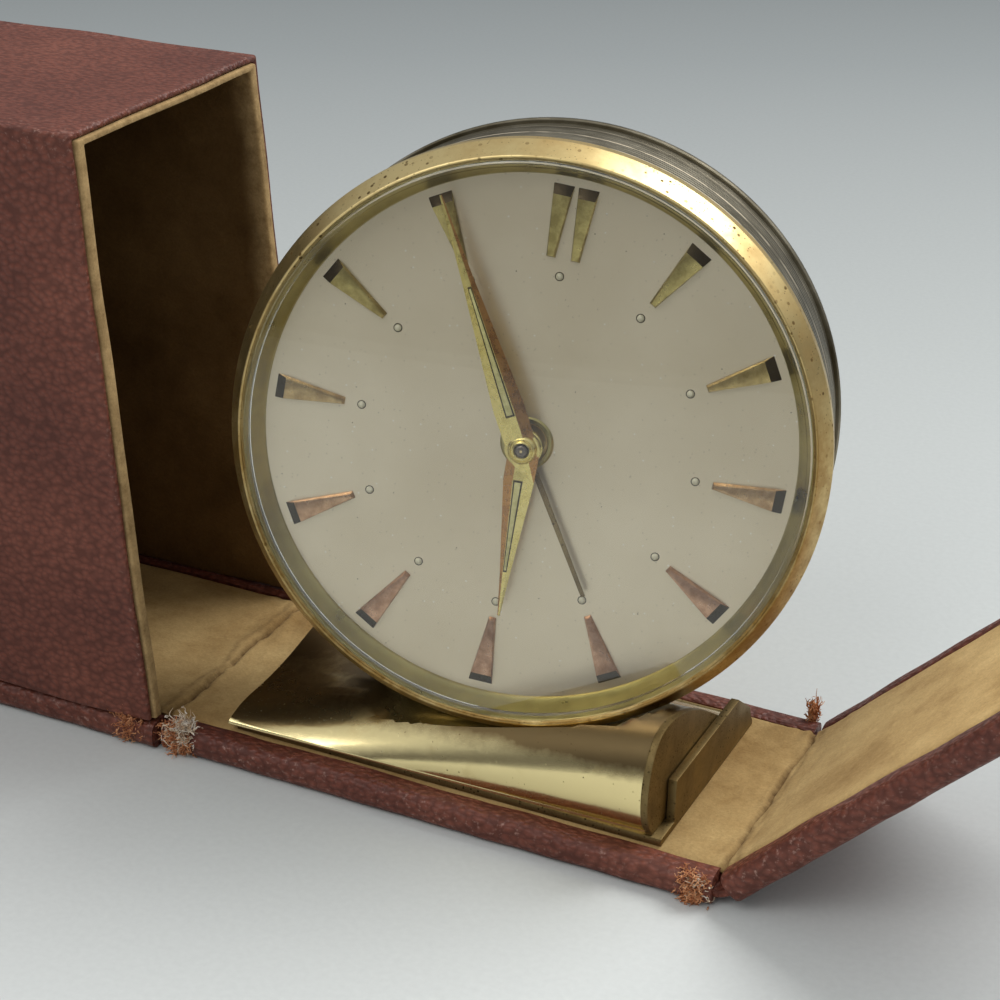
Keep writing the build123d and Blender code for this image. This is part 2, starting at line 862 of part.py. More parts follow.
# Dial with two feet, its markers, dots and centre eyelet
foot_places = [
    (foot_circle_radius * cos(radians(angle)), foot_circle_radius * sin(radians(angle)))
    for angle in foot_angles
]
with BuildPart() as dial:
    disc(dial_radius, -dial_thickness, 0)
    disc(eyelet_radius, -dial_thickness, 0, mode=Mode.SUBTRACT)
    for x, y in foot_places:
        disc(foot_radius, front_plate_back, -dial_thickness, x, y)
save(dial, "dial")

with BuildPart() as eyelet:
    disc(eyelet_radius, -dial_thickness, eyelet_height)
    disc(eyelet_radius + eyelet_width, 0, eyelet_height)
    disc(eyelet_radius - eyelet_width, -dial_thickness, eyelet_height, mode=Mode.SUBTRACT)
save(eyelet, "eyelet")


def marker(angle, inner_width, outer_width, side):
    """Add one tapered marker, set to one side of its hour line by this far."""
    turn = face(turn=-angle)
    with BuildSketch(turn) as outline:
        with BuildLine():
            Polyline(
                (side - inner_width / 2, marker_inner_radius),
                (side + inner_width / 2, marker_inner_radius),
                (side + outer_width / 2, marker_outer_radius),
                (side - outer_width / 2, marker_outer_radius),
                close=True,
            )
        make_face()
    block = extrude(outline.sketch, amount=marker_height)
    top = block.faces().sort_by(Axis(turn.origin, turn.z_dir))[-1]
    end = top.edges().sort_by(Axis(turn.origin, turn.y_dir))[-1]
    chamfer(end, marker_bevel)


with BuildPart() as hour_markers:
    for hour in range(1, 12):
        marker(hour * 30, marker_inner_width, marker_outer_width, 0)
    for side in (-1, 1):
        marker(0, twin_inner_width, twin_outer_width, side * (twin_outer_width + twin_gap) / 2)
save(hour_markers, "hour_markers")

with BuildPart() as dial_dots:
    with BuildSketch(face()):
        with PolarLocations(dot_circle_radius, 12):
            Circle(dot_radius)
    extrude(amount=dot_height)
    dot_tops = dial_dots.faces().group_by(Axis(dial_plane.origin, dial_plane.z_dir))[-1]
    fillet(dot_tops.edges(), dot_height / 2)
save(dial_dots, "dial_dots")


# Hands, each a long diamond with a narrow tip and a pointed tail
def hand(length, width, tail, bore, angle, height):
    """Add one hand with its bore on the centre line."""
    widest = length * hand_widest_share
    with BuildSketch(face(height, turn=-angle)) as outline:
        with BuildLine():
            Polyline(
                (-hand_tip_width / 2, length),
                (hand_tip_width / 2, length),
                (width / 2, widest),
                (hand_tip_width, -tail),
                (-hand_tip_width, -tail),
                (-width / 2, widest),
                close=True,
            )
        make_face()
        Circle(bore + pipe_wall + hand_thickness)
        Circle(bore, mode=Mode.SUBTRACT)
    extrude(outline.sketch, amount=hand_thickness)


with BuildPart() as minute_hand:
    hand(minute_length, minute_width, minute_tail, cannon_pipe, minute_angle, minute_height)
save(minute_hand, "minute_hand")

with BuildPart() as hour_hand:
    hand(hour_length, hour_width, hour_tail, hour_pipe, hour_angle, hour_height)
save(hour_hand, "hour_hand")

with BuildPart() as alarm_hand:
    with BuildSketch(face(alarm_height, turn=-alarm_angle)):
        with Locations((0, alarm_length / 2)):
            Rectangle(alarm_width, alarm_length)
        Circle(alarm_pipe + pipe_wall)
        Circle(alarm_pipe, mode=Mode.SUBTRACT)
    extrude(amount=hand_thickness)
save(alarm_hand, "alarm_hand")

collet_back = minute_height + hand_thickness
with BuildPart() as hand_collet:
    disc(collet_radius, collet_back, collet_back + collet_thickness)
    front_edges = hand_collet.faces().sort_by(Axis(dial_plane.origin, dial_plane.z_dir))[-1].edges()
    chamfer(front_edges, collet_thickness / 3)
    disc(centre_arbor_radius, collet_back, collet_back + collet_thickness, mode=Mode.SUBTRACT)
save(hand_collet, "hand_collet")

# Wheels under the dial, on the nested pipes at the centre
cannon_back = front_plate_front + thin_wheel
with BuildPart() as cannon_pinion:
    toothed(
        cannon_radius, fine_tooth_depth, cannon_teeth, cannon_back, minute_wheel_back + thin_wheel
    )
    disc(cannon_pipe, cannon_back, collet_back)
    disc(cannon_bore, cannon_back, collet_back, mode=Mode.SUBTRACT)
save(cannon_pinion, "cannon_pinion")

with BuildPart() as hour_wheel:
    toothed(
        hour_wheel_radius,
        fine_tooth_depth,
        hour_wheel_teeth,
        hour_wheel_back,
        hour_wheel_back + thin_wheel,
    )
    disc(hour_pipe, hour_wheel_back, hour_height + hand_thickness)
    disc(hour_bore, hour_wheel_back, hour_height + hand_thickness, mode=Mode.SUBTRACT)
save(hour_wheel, "hour_wheel")

with BuildPart() as alarm_wheel:
    toothed(
        alarm_wheel_radius,
        fine_tooth_depth,
        alarm_wheel_teeth,
        alarm_wheel_back,
        alarm_wheel_back + thin_wheel,
    )
    disc(alarm_pipe, alarm_wheel_back, alarm_height + hand_thickness)
    disc(alarm_bore, alarm_wheel_back, alarm_height + hand_thickness, mode=Mode.SUBTRACT)
save(alarm_wheel, "alarm_wheel")

minute_gap_radius = minute_post_distance - cannon_radius - mesh_gap
with BuildPart() as minute_wheel:
    toothed(
        minute_gap_radius,
        fine_tooth_depth,
        minute_wheel_teeth,
        minute_wheel_back,
        minute_wheel_back + thin_wheel,
        -minute_post_distance,
    )
    toothed(
        minute_pinion_radius,
        fine_tooth_depth,
        minute_pinion_teeth,
        minute_wheel_back + thin_wheel,
        hour_wheel_back + thin_wheel,
        -minute_post_distance,
    )
    disc(
        arbor_radius + arbor_gap,
        minute_wheel_back,
        hour_wheel_back + thin_wheel,
        -minute_post_distance,
        mode=Mode.SUBTRACT,
    )
save(minute_wheel, "minute_wheel")

# Plates that hold the movement, with every bore taken from the arbor that runs in it
pillar_places = [
    (pillar_circle_radius * cos(radians(angle)), pillar_circle_radius * sin(radians(angle)))
    for angle in pillar_angles
]
train_places = (
    (third_x, third_y),
    (escape_x, escape_y),
    (pallet_x, pallet_y),
    (balance_x, balance_y),
    (alarm_escape_x, alarm_escape_y),
    (hammer_x, hammer_y),
)
with BuildPart() as front_plate:
    disc(front_plate_radius, front_plate_back, front_plate_front)
    disc(arbor_radius, front_plate_front, hour_wheel_back, -minute_post_distance)
    holes = [(0, 0, centre_arbor_radius + running_gap)]
    holes += [(x, y, arbor_radius + arbor_gap) for x, y in train_places]
    holes += [(side * barrel_spread, barrel_rise, key_arbor_radius + key_arbor_gap) for side in (-1, 1)]
    holes += [(0, alarm_set_y, alarm_set_arbor_radius + arbor_gap)]
    holes += [(x, y, foot_radius + foot_clearance) for x, y in foot_places]
    for x, y, radius in holes:
        disc(radius, front_plate_back, front_plate_front, x, y, Mode.SUBTRACT)
save(front_plate, "front_plate")

with BuildPart() as back_plate:
    disc(back_plate_radius, back_plate_back, back_plate_front)
    boss_back = back_plate_back - lever_stand
    disc(lever_inner_radius - arbor_gap, boss_back, back_plate_back, balance_x, balance_y)
    holes = [(0, 0, centre_arbor_radius + running_gap)]
    holes += [(x, y, arbor_radius + arbor_gap) for x, y in train_places]
    holes += [(side * barrel_spread, barrel_rise, key_arbor_radius + key_arbor_gap) for side in (-1, 1)]
    holes += [(0, alarm_set_y, alarm_set_arbor_radius + arbor_gap)]
    holes += [(x, y, screw_radius + arbor_gap) for x, y in pillar_places]
    for x, y, radius in holes:
        disc(radius, boss_back, back_plate_front, x, y, Mode.SUBTRACT)
    for x, y in pillar_places:
        disc(pillar_radius, cover_plate_front, back_plate_back, x, y)
        disc(screw_radius + arbor_gap, cover_plate_front, back_plate_back, x, y, Mode.SUBTRACT)
save(back_plate, "back_plate")

with BuildPart() as pillars:
    for x, y in pillar_places:
        disc(pillar_radius, back_plate_front, front_plate_back, x, y)
        bore_end = front_plate_back - plate_spacing / 2
        disc(screw_radius + arbor_gap, back_plate_front, bore_end, x, y, Mode.SUBTRACT)
save(pillars, "pillars")

# Two springs with their great wheels and winding arbors, the time side at the left
time_wheel_front = front_plate_back - thin_wheel
alarm_wheel_rear = back_plate_front + thin_wheel
spring_front = time_wheel_front - great_wheel_thickness - thin_wheel
with BuildPart() as time_great_wheel:
    toothed(
        great_wheel_radius,
        tooth_depth,
        great_wheel_teeth,
        time_wheel_front - great_wheel_thickness,
        time_wheel_front,
        -barrel_spread,
        barrel_rise,
    )
    disc(
        key_arbor_radius + key_arbor_gap,
        time_wheel_front - great_wheel_thickness,
        time_wheel_front,
        -barrel_spread,
        barrel_rise,
        Mode.SUBTRACT,
    )
save(time_great_wheel, "time_great_wheel")

with BuildPart() as alarm_great_wheel:
    toothed(
        great_wheel_radius,
        tooth_depth,
        great_wheel_teeth,
        alarm_wheel_rear,
        alarm_wheel_rear + great_wheel_thickness,
        barrel_spread,
        barrel_rise,
    )
    disc(
        key_arbor_radius + key_arbor_gap,
        alarm_wheel_rear,
        alarm_wheel_rear + great_wheel_thickness,
        barrel_spread,
        barrel_rise,
        Mode.SUBTRACT,
    )
save(alarm_great_wheel, "alarm_great_wheel")

for name, side in (("time_spring", -1), ("alarm_spring", 1)):
    with BuildPart() as mainspring:
        spiral(
            spring_inner_radius,
            spring_outer_radius,
            spring_strip,
            spring_turns,
            spring_front - spring_width,
            spring_front,
            side * barrel_spread,
            barrel_rise,
        )
    save(mainspring, name)

# Going train: centre wheel, third wheel, escape wheel, pallet fork and balance
centre_level = (front_plate_back + back_plate_front) / 2
with BuildPart() as centre_wheel:
    disc(centre_arbor_radius, key_top, collet_back + pin_stand)
    toothed(
        centre_wheel_radius, tooth_depth, centre_wheel_teeth, centre_level, centre_level + wheel_thickness
    )
    pinion_back = time_wheel_front - great_wheel_thickness - thin_wheel
    toothed(
        centre_pinion_radius,
        tooth_depth,
        centre_pinion_teeth,
        pinion_back,
        time_wheel_front + thin_wheel / 2,
    )
save(centre_wheel, "centre_wheel")

third_level = centre_level - 3 * wheel_thickness
with BuildPart() as third_wheel:
    disc(arbor_radius, back_plate_back, front_plate_front, third_x, third_y)
    toothed(
        third_wheel_radius,
        tooth_depth,
        third_wheel_teeth,
        third_level,
        third_level + wheel_thickness,
        third_x,
        third_y,
    )
    toothed(
        third_pinion_radius,
        fine_tooth_depth,
        third_pinion_teeth,
        centre_level - wheel_thickness / 2,
        centre_level + 2 * wheel_thickness,
        third_x,
        third_y,
    )
save(third_wheel, "third_wheel")

escape_level = centre_level + wheel_thickness
with BuildPart() as escape_wheel:
    disc(arbor_radius, back_plate_back, front_plate_front, escape_x, escape_y)
    toothed(
        escape_wheel_radius,
        tooth_depth,
        escape_wheel_teeth,
        escape_level,
        escape_level + wheel_thickness,
        escape_x,
        escape_y,
    )
    toothed(
        escape_pinion_radius,
        fine_tooth_depth,
        escape_pinion_teeth,
        third_level - wheel_thickness / 2,
        escape_level - wheel_thickness,
        escape_x,
        escape_y,
    )
save(escape_wheel, "escape_wheel")

pallet_turn = degrees(atan2(balance_y - pallet_y, balance_x - pallet_x))
with BuildPart() as pallet_fork:
    disc(arbor_radius, back_plate_back, front_plate_front, pallet_x, pallet_y)
    with BuildSketch(face(centre_level - wheel_thickness, pallet_x, pallet_y, pallet_turn)):
        with Locations((pallet_arm / 2, 0)):
            Rectangle(pallet_arm, pallet_width)
        with Locations((0, 0)):
            Rectangle(pallet_width, pallet_arm)
    extrude(amount=wheel_thickness)
save(pallet_fork, "pallet_fork")

balance_level = third_level
with BuildPart() as balance_wheel:
    disc(arbor_radius, back_plate_back, front_plate_front, balance_x, balance_y)
    with BuildSketch(face(balance_level, balance_x, balance_y)):
        Circle(balance_radius)
        Circle(balance_radius - balance_rim, mode=Mode.SUBTRACT)
        Rectangle(2 * balance_radius - balance_rim, balance_rim)
    extrude(amount=wheel_thickness)
    disc(
        roller_radius,
        balance_level + wheel_thickness,
        centre_level + wheel_thickness,
        balance_x,
        balance_y,
    )
save(balance_wheel, "balance_wheel")

hairspring_front = balance_level - wheel_thickness
with BuildPart() as hairspring:
    spiral(
        hairspring_inner_radius,
        hairspring_outer_radius,
        hairspring_strip,
        hairspring_turns,
        hairspring_front - hairspring_width,
        hairspring_front,
        balance_x,
        balance_y,
    )
save(hairspring, "hairspring")

# Alarm train, hammer and gong
alarm_level = centre_level + wheel_thickness
with BuildPart() as alarm_escape_wheel:
    disc(arbor_radius, back_plate_back, front_plate_front, alarm_escape_x, alarm_escape_y)
    toothed(
        alarm_pinion_radius,
        fine_tooth_depth,
        escape_pinion_teeth,
        alarm_wheel_rear,
        alarm_wheel_rear + great_wheel_thickness + thin_wheel,
        alarm_escape_x,
        alarm_escape_y,
    )
    toothed(
        alarm_escape_radius,
        tooth_depth,
        escape_wheel_teeth,
        alarm_level,
        alarm_level + wheel_thickness,
        alarm_escape_x,
        alarm_escape_y,
    )
save(alarm_escape_wheel, "alarm_escape_wheel")

hammer_reach = hypot(hammer_x, hammer_y)
hammer_side = hammer_reach * sin(radians(hammer_lean))
hammer_length = (hammer_head_circle_radius**2 - hammer_side**2) ** 0.5
hammer_length -= hammer_reach * cos(radians(hammer_lean))
hammer_turn = degrees(atan2(hammer_y, hammer_x)) - hammer_lean
with BuildPart() as hammer:
    disc(arbor_radius, back_plate_back, front_plate_front, hammer_x, hammer_y)
    with BuildSketch(face(centre_level - wheel_thickness, hammer_x, hammer_y, hammer_turn)):
        with Locations((hammer_length / 2, 0)):
            Rectangle(hammer_length, pallet_width)
        Circle(pallet_width)
        with Locations((hammer_length, 0)):
            Circle(hammer_head_radius)
    extrude(amount=2 * wheel_thickness)
save(hammer, "hammer")

gong_x = (gong_inner_radius + gong_outer_radius) / 2 * cos(radians(gong_post_angle))
gong_y = (gong_inner_radius + gong_outer_radius) / 2 * sin(radians(gong_post_angle))
with BuildPart() as gong_ring:
    disc(gong_outer_radius, centre_level - gong_width, centre_level)
    disc(gong_inner_radius, centre_level - gong_width, centre_level, mode=Mode.SUBTRACT)
    disc(gong_post_radius, cover_plate_front, centre_level, gong_x, gong_y)
save(gong_ring, "gong_ring")

# Back cover with holes for the keys, knobs, lever, button and screws
with BuildPart() as back_cover:
    disc(drum_radius - drum_wall - cover_fit_gap, cover_plate_back, cover_plate_front)
    holes = [(0, 0, centre_arbor_radius + 4 * arbor_gap)]
    holes += [(side * barrel_spread, barrel_rise, key_arbor_radius + 2 * arbor_gap) for side in (-1, 1)]
    holes += [(0, alarm_set_y, alarm_set_arbor_radius + 4 * arbor_gap)]
    holes += [(button_x, button_y, button_radius + arbor_gap)]
    holes += [(x, y, screw_radius + 2 * arbor_gap) for x, y in pillar_places]
    for x, y, radius in holes:
        disc(radius, cover_plate_back, cover_plate_front, x, y, Mode.SUBTRACT)
    slot_half = lever_pin_radius + 3 * arbor_gap
    with BuildSketch(face(cover_plate_back, balance_x, balance_y, 90)):
        with BuildLine():
            outer = CenterArc((0, 0), lever_pin_distance + slot_half, -lever_swing, 2 * lever_swing)
            inner = CenterArc((0, 0), lever_pin_distance - slot_half, -lever_swing, 2 * lever_swing)
            Line(outer @ 0, inner @ 0)
            Line(outer @ 1, inner @ 1)
        make_face()
    extrude(amount=cover_plate_thickness, mode=Mode.SUBTRACT)
save(back_cover, "back_cover")

with BuildPart() as back_screws:
    for x, y in pillar_places:
        head_back = cover_plate_back - screw_head_height
        disc(screw_head_radius, head_back, cover_plate_back, x, y)
        disc(screw_radius, cover_plate_back, back_plate_front + plate_spacing / 3, x, y)
        with BuildSketch(face(head_back, x, y)) as slot:
            Rectangle(2 * screw_head_radius + overrun, screw_slot_width)
        extrude(slot.sketch, amount=screw_head_height / 2, mode=Mode.SUBTRACT)
save(back_screws, "back_screws")

# Winding keys, each on its arbor with a folding bow
for name, side in (("time", -1), ("alarm", 1)):
    x = side * barrel_spread
    with BuildPart() as key:
        disc(key_arbor_radius, key_base, front_plate_front, x, barrel_rise)
        disc(key_hub_radius, key_top, key_base, x, barrel_rise)
        bow_middle = dial_plane.from_local_coords((x, barrel_rise, bow_level))
        cross = Plane(bow_middle, dial_plane.y_dir, dial_plane.x_dir)
        with BuildSketch(cross) as pin_hole:
            Circle(bow_pin_radius + arbor_gap)
        extrude(pin_hole.sketch, amount=key_hub_radius + overrun, both=True, mode=Mode.SUBTRACT)
    save(key, f"{name}_key")
    with BuildPart() as bow:
        with BuildSketch(face(bow_level - bow_thickness / 2, x, barrel_rise)):
            Circle(bow_outer_radius)
            Circle(bow_inner_radius, mode=Mode.SUBTRACT)
            with Locations((0, bow_end + bow_outer_radius / 2)):
                Rectangle(2 * bow_outer_radius, bow_outer_radius, mode=Mode.SUBTRACT)
        extrude(amount=bow_thickness)
        with BuildSketch(cross):
            Circle(bow_pin_radius)
        extrude(amount=bow_inner_radius + overrun, both=True)
    save(bow, f"{name}_key_bow")


# Setting knobs with notched edges
def knob(radius, x, y, arbor_hole):
    """Add one notched knob behind the back cover."""
    disc(radius, key_base - knob_height, key_base, x, y)
    with BuildSketch(face(key_base - knob_height, x, y)) as notches:
        with PolarLocations(radius, knob_notches):
            Circle(knob_notch_radius)
    extrude(notches.sketch, amount=knob_height, mode=Mode.SUBTRACT)
    if arbor_hole:
        disc(arbor_hole, key_base - knob_height, key_base, x, y, Mode.SUBTRACT)


with BuildPart() as time_set_knob:
    knob(knob_radius, 0, 0, centre_arbor_radius)
save(time_set_knob, "time_set_knob")

with BuildPart() as alarm_set_knob:
    knob(alarm_knob_radius, 0, alarm_set_y, 0)
    disc(alarm_set_arbor_radius, key_base, alarm_wheel_back, 0, alarm_set_y)
    toothed(
        alarm_set_pinion_radius,
        fine_tooth_depth,
        alarm_set_teeth,
        alarm_wheel_back,
        alarm_wheel_back + thin_wheel,
        0,
        alarm_set_y,
    )
save(alarm_set_knob, "alarm_set_knob")

# Regulator lever round the balance and the sprung button that stops the alarm
lever_back = back_plate_back - arbor_gap - lever_thickness
with BuildPart() as regulator_lever:
    with BuildSketch(face(lever_back, balance_x, balance_y)):
        Circle(lever_outer_radius)
        with Locations((0, lever_pin_distance / 2)):
            Rectangle(lever_width, lever_pin_distance)
        Circle(lever_inner_radius, mode=Mode.SUBTRACT)
    extrude(amount=lever_thickness)
    disc(
        lever_pin_radius,
        cover_plate_back - lever_stand,
        lever_back + lever_thickness,
        balance_x,
        balance_y + lever_pin_distance,
    )
save(regulator_lever, "regulator_lever")

with BuildPart() as alarm_stop_button:
    button_front = cover_plate_front + arbor_gap + button_collar_thickness
    disc(button_radius, cover_plate_back - button_stand, button_front, button_x, button_y)
    disc(
        button_radius + button_collar,
        cover_plate_front + arbor_gap,
        button_front,
        button_x,
        button_y,
    )
save(alarm_stop_button, "alarm_stop_button")
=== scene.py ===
import json
from math import cos, exp, hypot, pi, radians, sin

import bmesh
import bpy
from mathutils import Matrix, Vector, noise

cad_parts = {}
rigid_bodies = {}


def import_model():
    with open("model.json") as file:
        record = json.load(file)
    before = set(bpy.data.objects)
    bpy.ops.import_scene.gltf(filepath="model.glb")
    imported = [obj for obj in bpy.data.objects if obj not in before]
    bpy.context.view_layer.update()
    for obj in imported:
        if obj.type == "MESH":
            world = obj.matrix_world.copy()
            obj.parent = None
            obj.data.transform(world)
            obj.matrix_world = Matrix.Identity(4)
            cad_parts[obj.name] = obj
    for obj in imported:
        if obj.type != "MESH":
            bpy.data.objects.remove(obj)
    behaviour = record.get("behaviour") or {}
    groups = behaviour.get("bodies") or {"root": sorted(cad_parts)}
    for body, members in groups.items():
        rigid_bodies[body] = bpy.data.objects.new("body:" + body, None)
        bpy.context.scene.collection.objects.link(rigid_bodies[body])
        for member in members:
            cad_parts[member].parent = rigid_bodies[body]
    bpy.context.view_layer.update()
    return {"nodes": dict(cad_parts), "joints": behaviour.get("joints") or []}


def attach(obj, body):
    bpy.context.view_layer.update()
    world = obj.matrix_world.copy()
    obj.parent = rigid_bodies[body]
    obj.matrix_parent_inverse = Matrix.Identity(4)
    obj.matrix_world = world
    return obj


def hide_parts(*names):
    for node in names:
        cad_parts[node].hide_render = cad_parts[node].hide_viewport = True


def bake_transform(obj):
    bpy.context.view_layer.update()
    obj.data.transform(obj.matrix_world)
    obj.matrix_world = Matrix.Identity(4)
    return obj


for leftover in list(bpy.data.objects):
    bpy.data.objects.remove(leftover)
noise.seed_set(1)  # so that every run gives the same shapes
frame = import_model()

# Sizes of the case, in metres, as the solids have them
half_span = 0.0305
base_half_depth = 0.0165
lining_level = 0.003
border = 0.0028
crease_gap = 0.0004
flap_length = 0.063
flap_angle = 45
cover_height = 0.0645
cover_half_depth = 0.015
cover_wall = 0.002
cover_end_wall = 0.0014
cover_span = 0.0594
cover_lean = 0.6
wall_lean = 4.8
mouth_gap = 0.0004
foot_gap = 0.0004

# Sizes of the clock, in metres, with heights measured from the dial's face
drum_radius = 0.0287
rim_radius = 0.0292
drum_back = -0.0157
band_front = -0.0009
groove_count = 13
groove_depth = 0.00022
bezel_front = 0.003
bezel_inner_radius = 0.02745
bezel_bore_radius = 0.028
crystal_edge = 0.02737
marker_inner = 0.01815
marker_outer = 0.0251

# The dial's place and directions come from the joints that turn square to it
joints = {joint["name"]: joint for joint in frame["joints"]}
dial_centre = Vector(joints["minute_turn"]["pos_m"])
dial_front = Vector(joints["minute_turn"]["axis"]).normalized()
dial_right = Vector(joints["time_bow_fold"]["axis"]).normalized()
dial_up = dial_front.cross(dial_right)
dial_place = Matrix.Translation(dial_centre) @ Matrix((dial_right, dial_up, dial_front)).transposed().to_4x4()
flap_place = Matrix.Translation((half_span, 0, lining_level)) @ Matrix.Rotation(-radians(flap_angle), 4, "Y")
wall_run = sin(radians(wall_lean)) / cos(radians(wall_lean))
lean_back = Matrix(((1, 0, -wall_run, 0), (0, 1, 0, 0), (0, 0, 1, 0), (0, 0, 0, 1)))
fold_turn = Matrix.Rotation(-radians(cover_lean), 4, "Y")
fold_place = Matrix.Translation((-half_span - cover_height, 0, lining_level)) @ fold_turn @ lean_back


# Making pieces by hand
def start_afresh():
    """Leave edit mode and deselect everything."""
    if bpy.context.object and bpy.context.object.mode != "OBJECT":
        bpy.ops.object.mode_set(mode="OBJECT")
    bpy.ops.object.select_all(action="DESELECT")


def pick(piece):
    """Make this the one selected and active object."""
    start_afresh()
    piece.select_set(True)
    bpy.context.view_layer.objects.active = piece


def start_edit(piece):
    """Open a piece in edit mode with all of it selected."""
    pick(piece)
    bpy.ops.object.mode_set(mode="EDIT")
    bpy.ops.mesh.select_all(action="SELECT")


def end_edit():
    """Go back to object mode."""
    bpy.ops.object.mode_set(mode="OBJECT")


def add_object(name, data):
    """Put a new object with this data in the scene."""
    added = bpy.data.objects.new(name, data)
    bpy.context.scene.collection.objects.link(added)
    return added


def join_pieces(name, parts):
    """Join several parts into one named piece."""
    start_afresh()
    for part in parts:
        part.select_set(True)
    bpy.context.view_layer.objects.active = parts[0]
    bpy.ops.object.join()
    parts[0].name = name
    return parts[0]


def grid(name, columns, rows):
    """Start a piece from a flat grid one metre across."""
    start_afresh()
    bpy.ops.mesh.primitive_grid_add(x_subdivisions=columns, y_subdivisions=rows, size=1)
    piece = bpy.context.object
    piece.name = name
    return piece


def thicken(piece, thickness):
    """Face a sheet upwards and thicken it downwards."""
    piece.data.update()
    if piece.data.polygons[0].normal.z < 0:
        piece.data.flip_normals()
    modify(piece, "SOLIDIFY", thickness=thickness, offset=-1)


def mark_points(piece, name, amount):
    """Write a value on each point, worked out from its place."""
    marks = piece.data.attributes.new(name, "FLOAT", "POINT")
    for index, point in enumerate(piece.data.vertices):
        marks.data[index].value = amount(point.co)


def block(name, low, high):
    """Start a piece from a cube that fills the space between two corners."""
    start_afresh()
    middle = [(a + b) / 2 for a, b in zip(low, high)]
    size = [b - a for a, b in zip(low, high)]
    bpy.ops.mesh.primitive_cube_add(size=1, location=middle, scale=size)
    piece = bpy.context.object
    piece.name = name
    bpy.ops.object.transform_apply(location=True, rotation=True, scale=True)
    return piece


def select_parts(piece, kind, wanted):
    """In edit mode, select the faces or edges that are wanted."""
    bpy.ops.mesh.select_all(action="DESELECT")
    bpy.ops.mesh.select_mode(type=kind)
    mesh = bmesh.from_edit_mesh(piece.data)
    for part in mesh.faces if kind == "FACE" else mesh.edges:
        if wanted(part):
            part.select_set(True)
    bmesh.update_edit_mesh(piece.data)


def slice_up(piece, axis, places):
    """Cut loops across a piece at these places along an axis, so that it can bend there."""
    start_edit(piece)
    normal = [0, 0, 0]
    normal[axis] = 1
    for place in places:
        spot = [0, 0, 0]
        spot[axis] = place
        bpy.ops.mesh.select_all(action="SELECT")
        bpy.ops.mesh.bisect(plane_co=spot, plane_no=normal)
    end_edit()


def steps_between(start, end, count):
    """Give evenly spaced places between two ends, without the ends."""
    return [start + (end - start) * step / (count + 1) for step in range(1, count + 1)]


def modify(piece, kind, **settings):
    """Add one modifier and apply it."""
    pick(piece)
    added = piece.modifiers.new(kind.lower(), kind)
    for key, value in settings.items():
        setattr(added, key, value)
    bpy.ops.object.modifier_apply(modifier=added.name)


def wander(piece, amount, size, seed):
    """Push points about by smooth noise of this size, as handling has done."""
    shift = Vector((seed, seed / 2, -seed))
    for point in piece.data.vertices:
        point.co += noise.noise_vector(point.co / size + shift) * amount
    piece.data.update()


def smooth(piece, angle=35):
    """Shade a piece smooth apart from its sharp edges."""
    pick(piece)
    bpy.ops.object.shade_smooth_by_angle(angle=radians(angle))


def put(piece, place):
    """Move a piece's points to a place, and leave its object at the origin."""
    piece.data.transform(place)
    piece.data.update()


def finish_piece(piece, body, material, slot, *nodes):
    """Give a finished piece its material, its body and the nodes that it stands for."""
    piece.data.materials.clear()
    piece.data.materials.append(material)
    if body:
        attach(piece, body)
    if nodes:
        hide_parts(*nodes)
    return piece


def set_on_dial(piece, angle, body, material, slot, *nodes):
    """Put a piece that was made flat on the dial, smooth it and finish it."""
    put(piece, dial_place)
    smooth(piece, angle)
    return finish_piece(piece, body, material, slot, *nodes)


def lathe(name, outline, steps=160):
    """Spin an outline of radius and height points round the dial's axis."""
    start_afresh()
    bpy.ops.mesh.primitive_plane_add(size=0.001)
    piece = bpy.context.object
    piece.name = name
    start_edit(piece)
    bpy.ops.mesh.select_mode(type="VERT")
    bpy.ops.mesh.select_all(action="SELECT")
    bpy.ops.mesh.merge(type="CENTER")
    here = Vector((0, 0, 0))
    for index, (radius, height) in enumerate(outline):
        there = Vector((radius, 0, height))
        if index == 0:
            bpy.ops.transform.translate(value=there)
        else:
            bpy.ops.mesh.extrude_vertices_move(TRANSFORM_OT_translate={"value": there - here})
        here = there
    bpy.ops.mesh.select_all(action="SELECT")
    bpy.ops.mesh.spin(steps=steps, angle=2 * pi, center=(0, 0, 0), axis=(0, 0, 1))
    bpy.ops.mesh.select_all(action="SELECT")
    bpy.ops.mesh.remove_doubles(threshold=0.000001)
    bpy.ops.mesh.normals_make_consistent(inside=False)
    end_edit()
    return piece


def ring_outline(points):
    """Close an outline of radius and height points."""
    return [*points, points[0]]


def worn_copy(node, name, bevel, angle=30):
    """Copy a node's mesh with its points merged and its hard edges rounded over."""
    start_afresh()
    piece = add_object(name, frame["nodes"][node].data.copy())
    start_edit(piece)
    bpy.ops.mesh.remove_doubles(threshold=0.000002)
    bpy.ops.mesh.customdata_custom_splitnormals_clear()
    bpy.ops.mesh.dissolve_limited(angle_limit=radians(1))
    end_edit()
    if bevel:
        limit = {"limit_method": "ANGLE", "angle_limit": radians(angle), "use_clamp_overlap": True}
        modify(piece, "BEVEL", width=bevel, segments=2, **limit)
    smooth(piece, angle)
    return piece


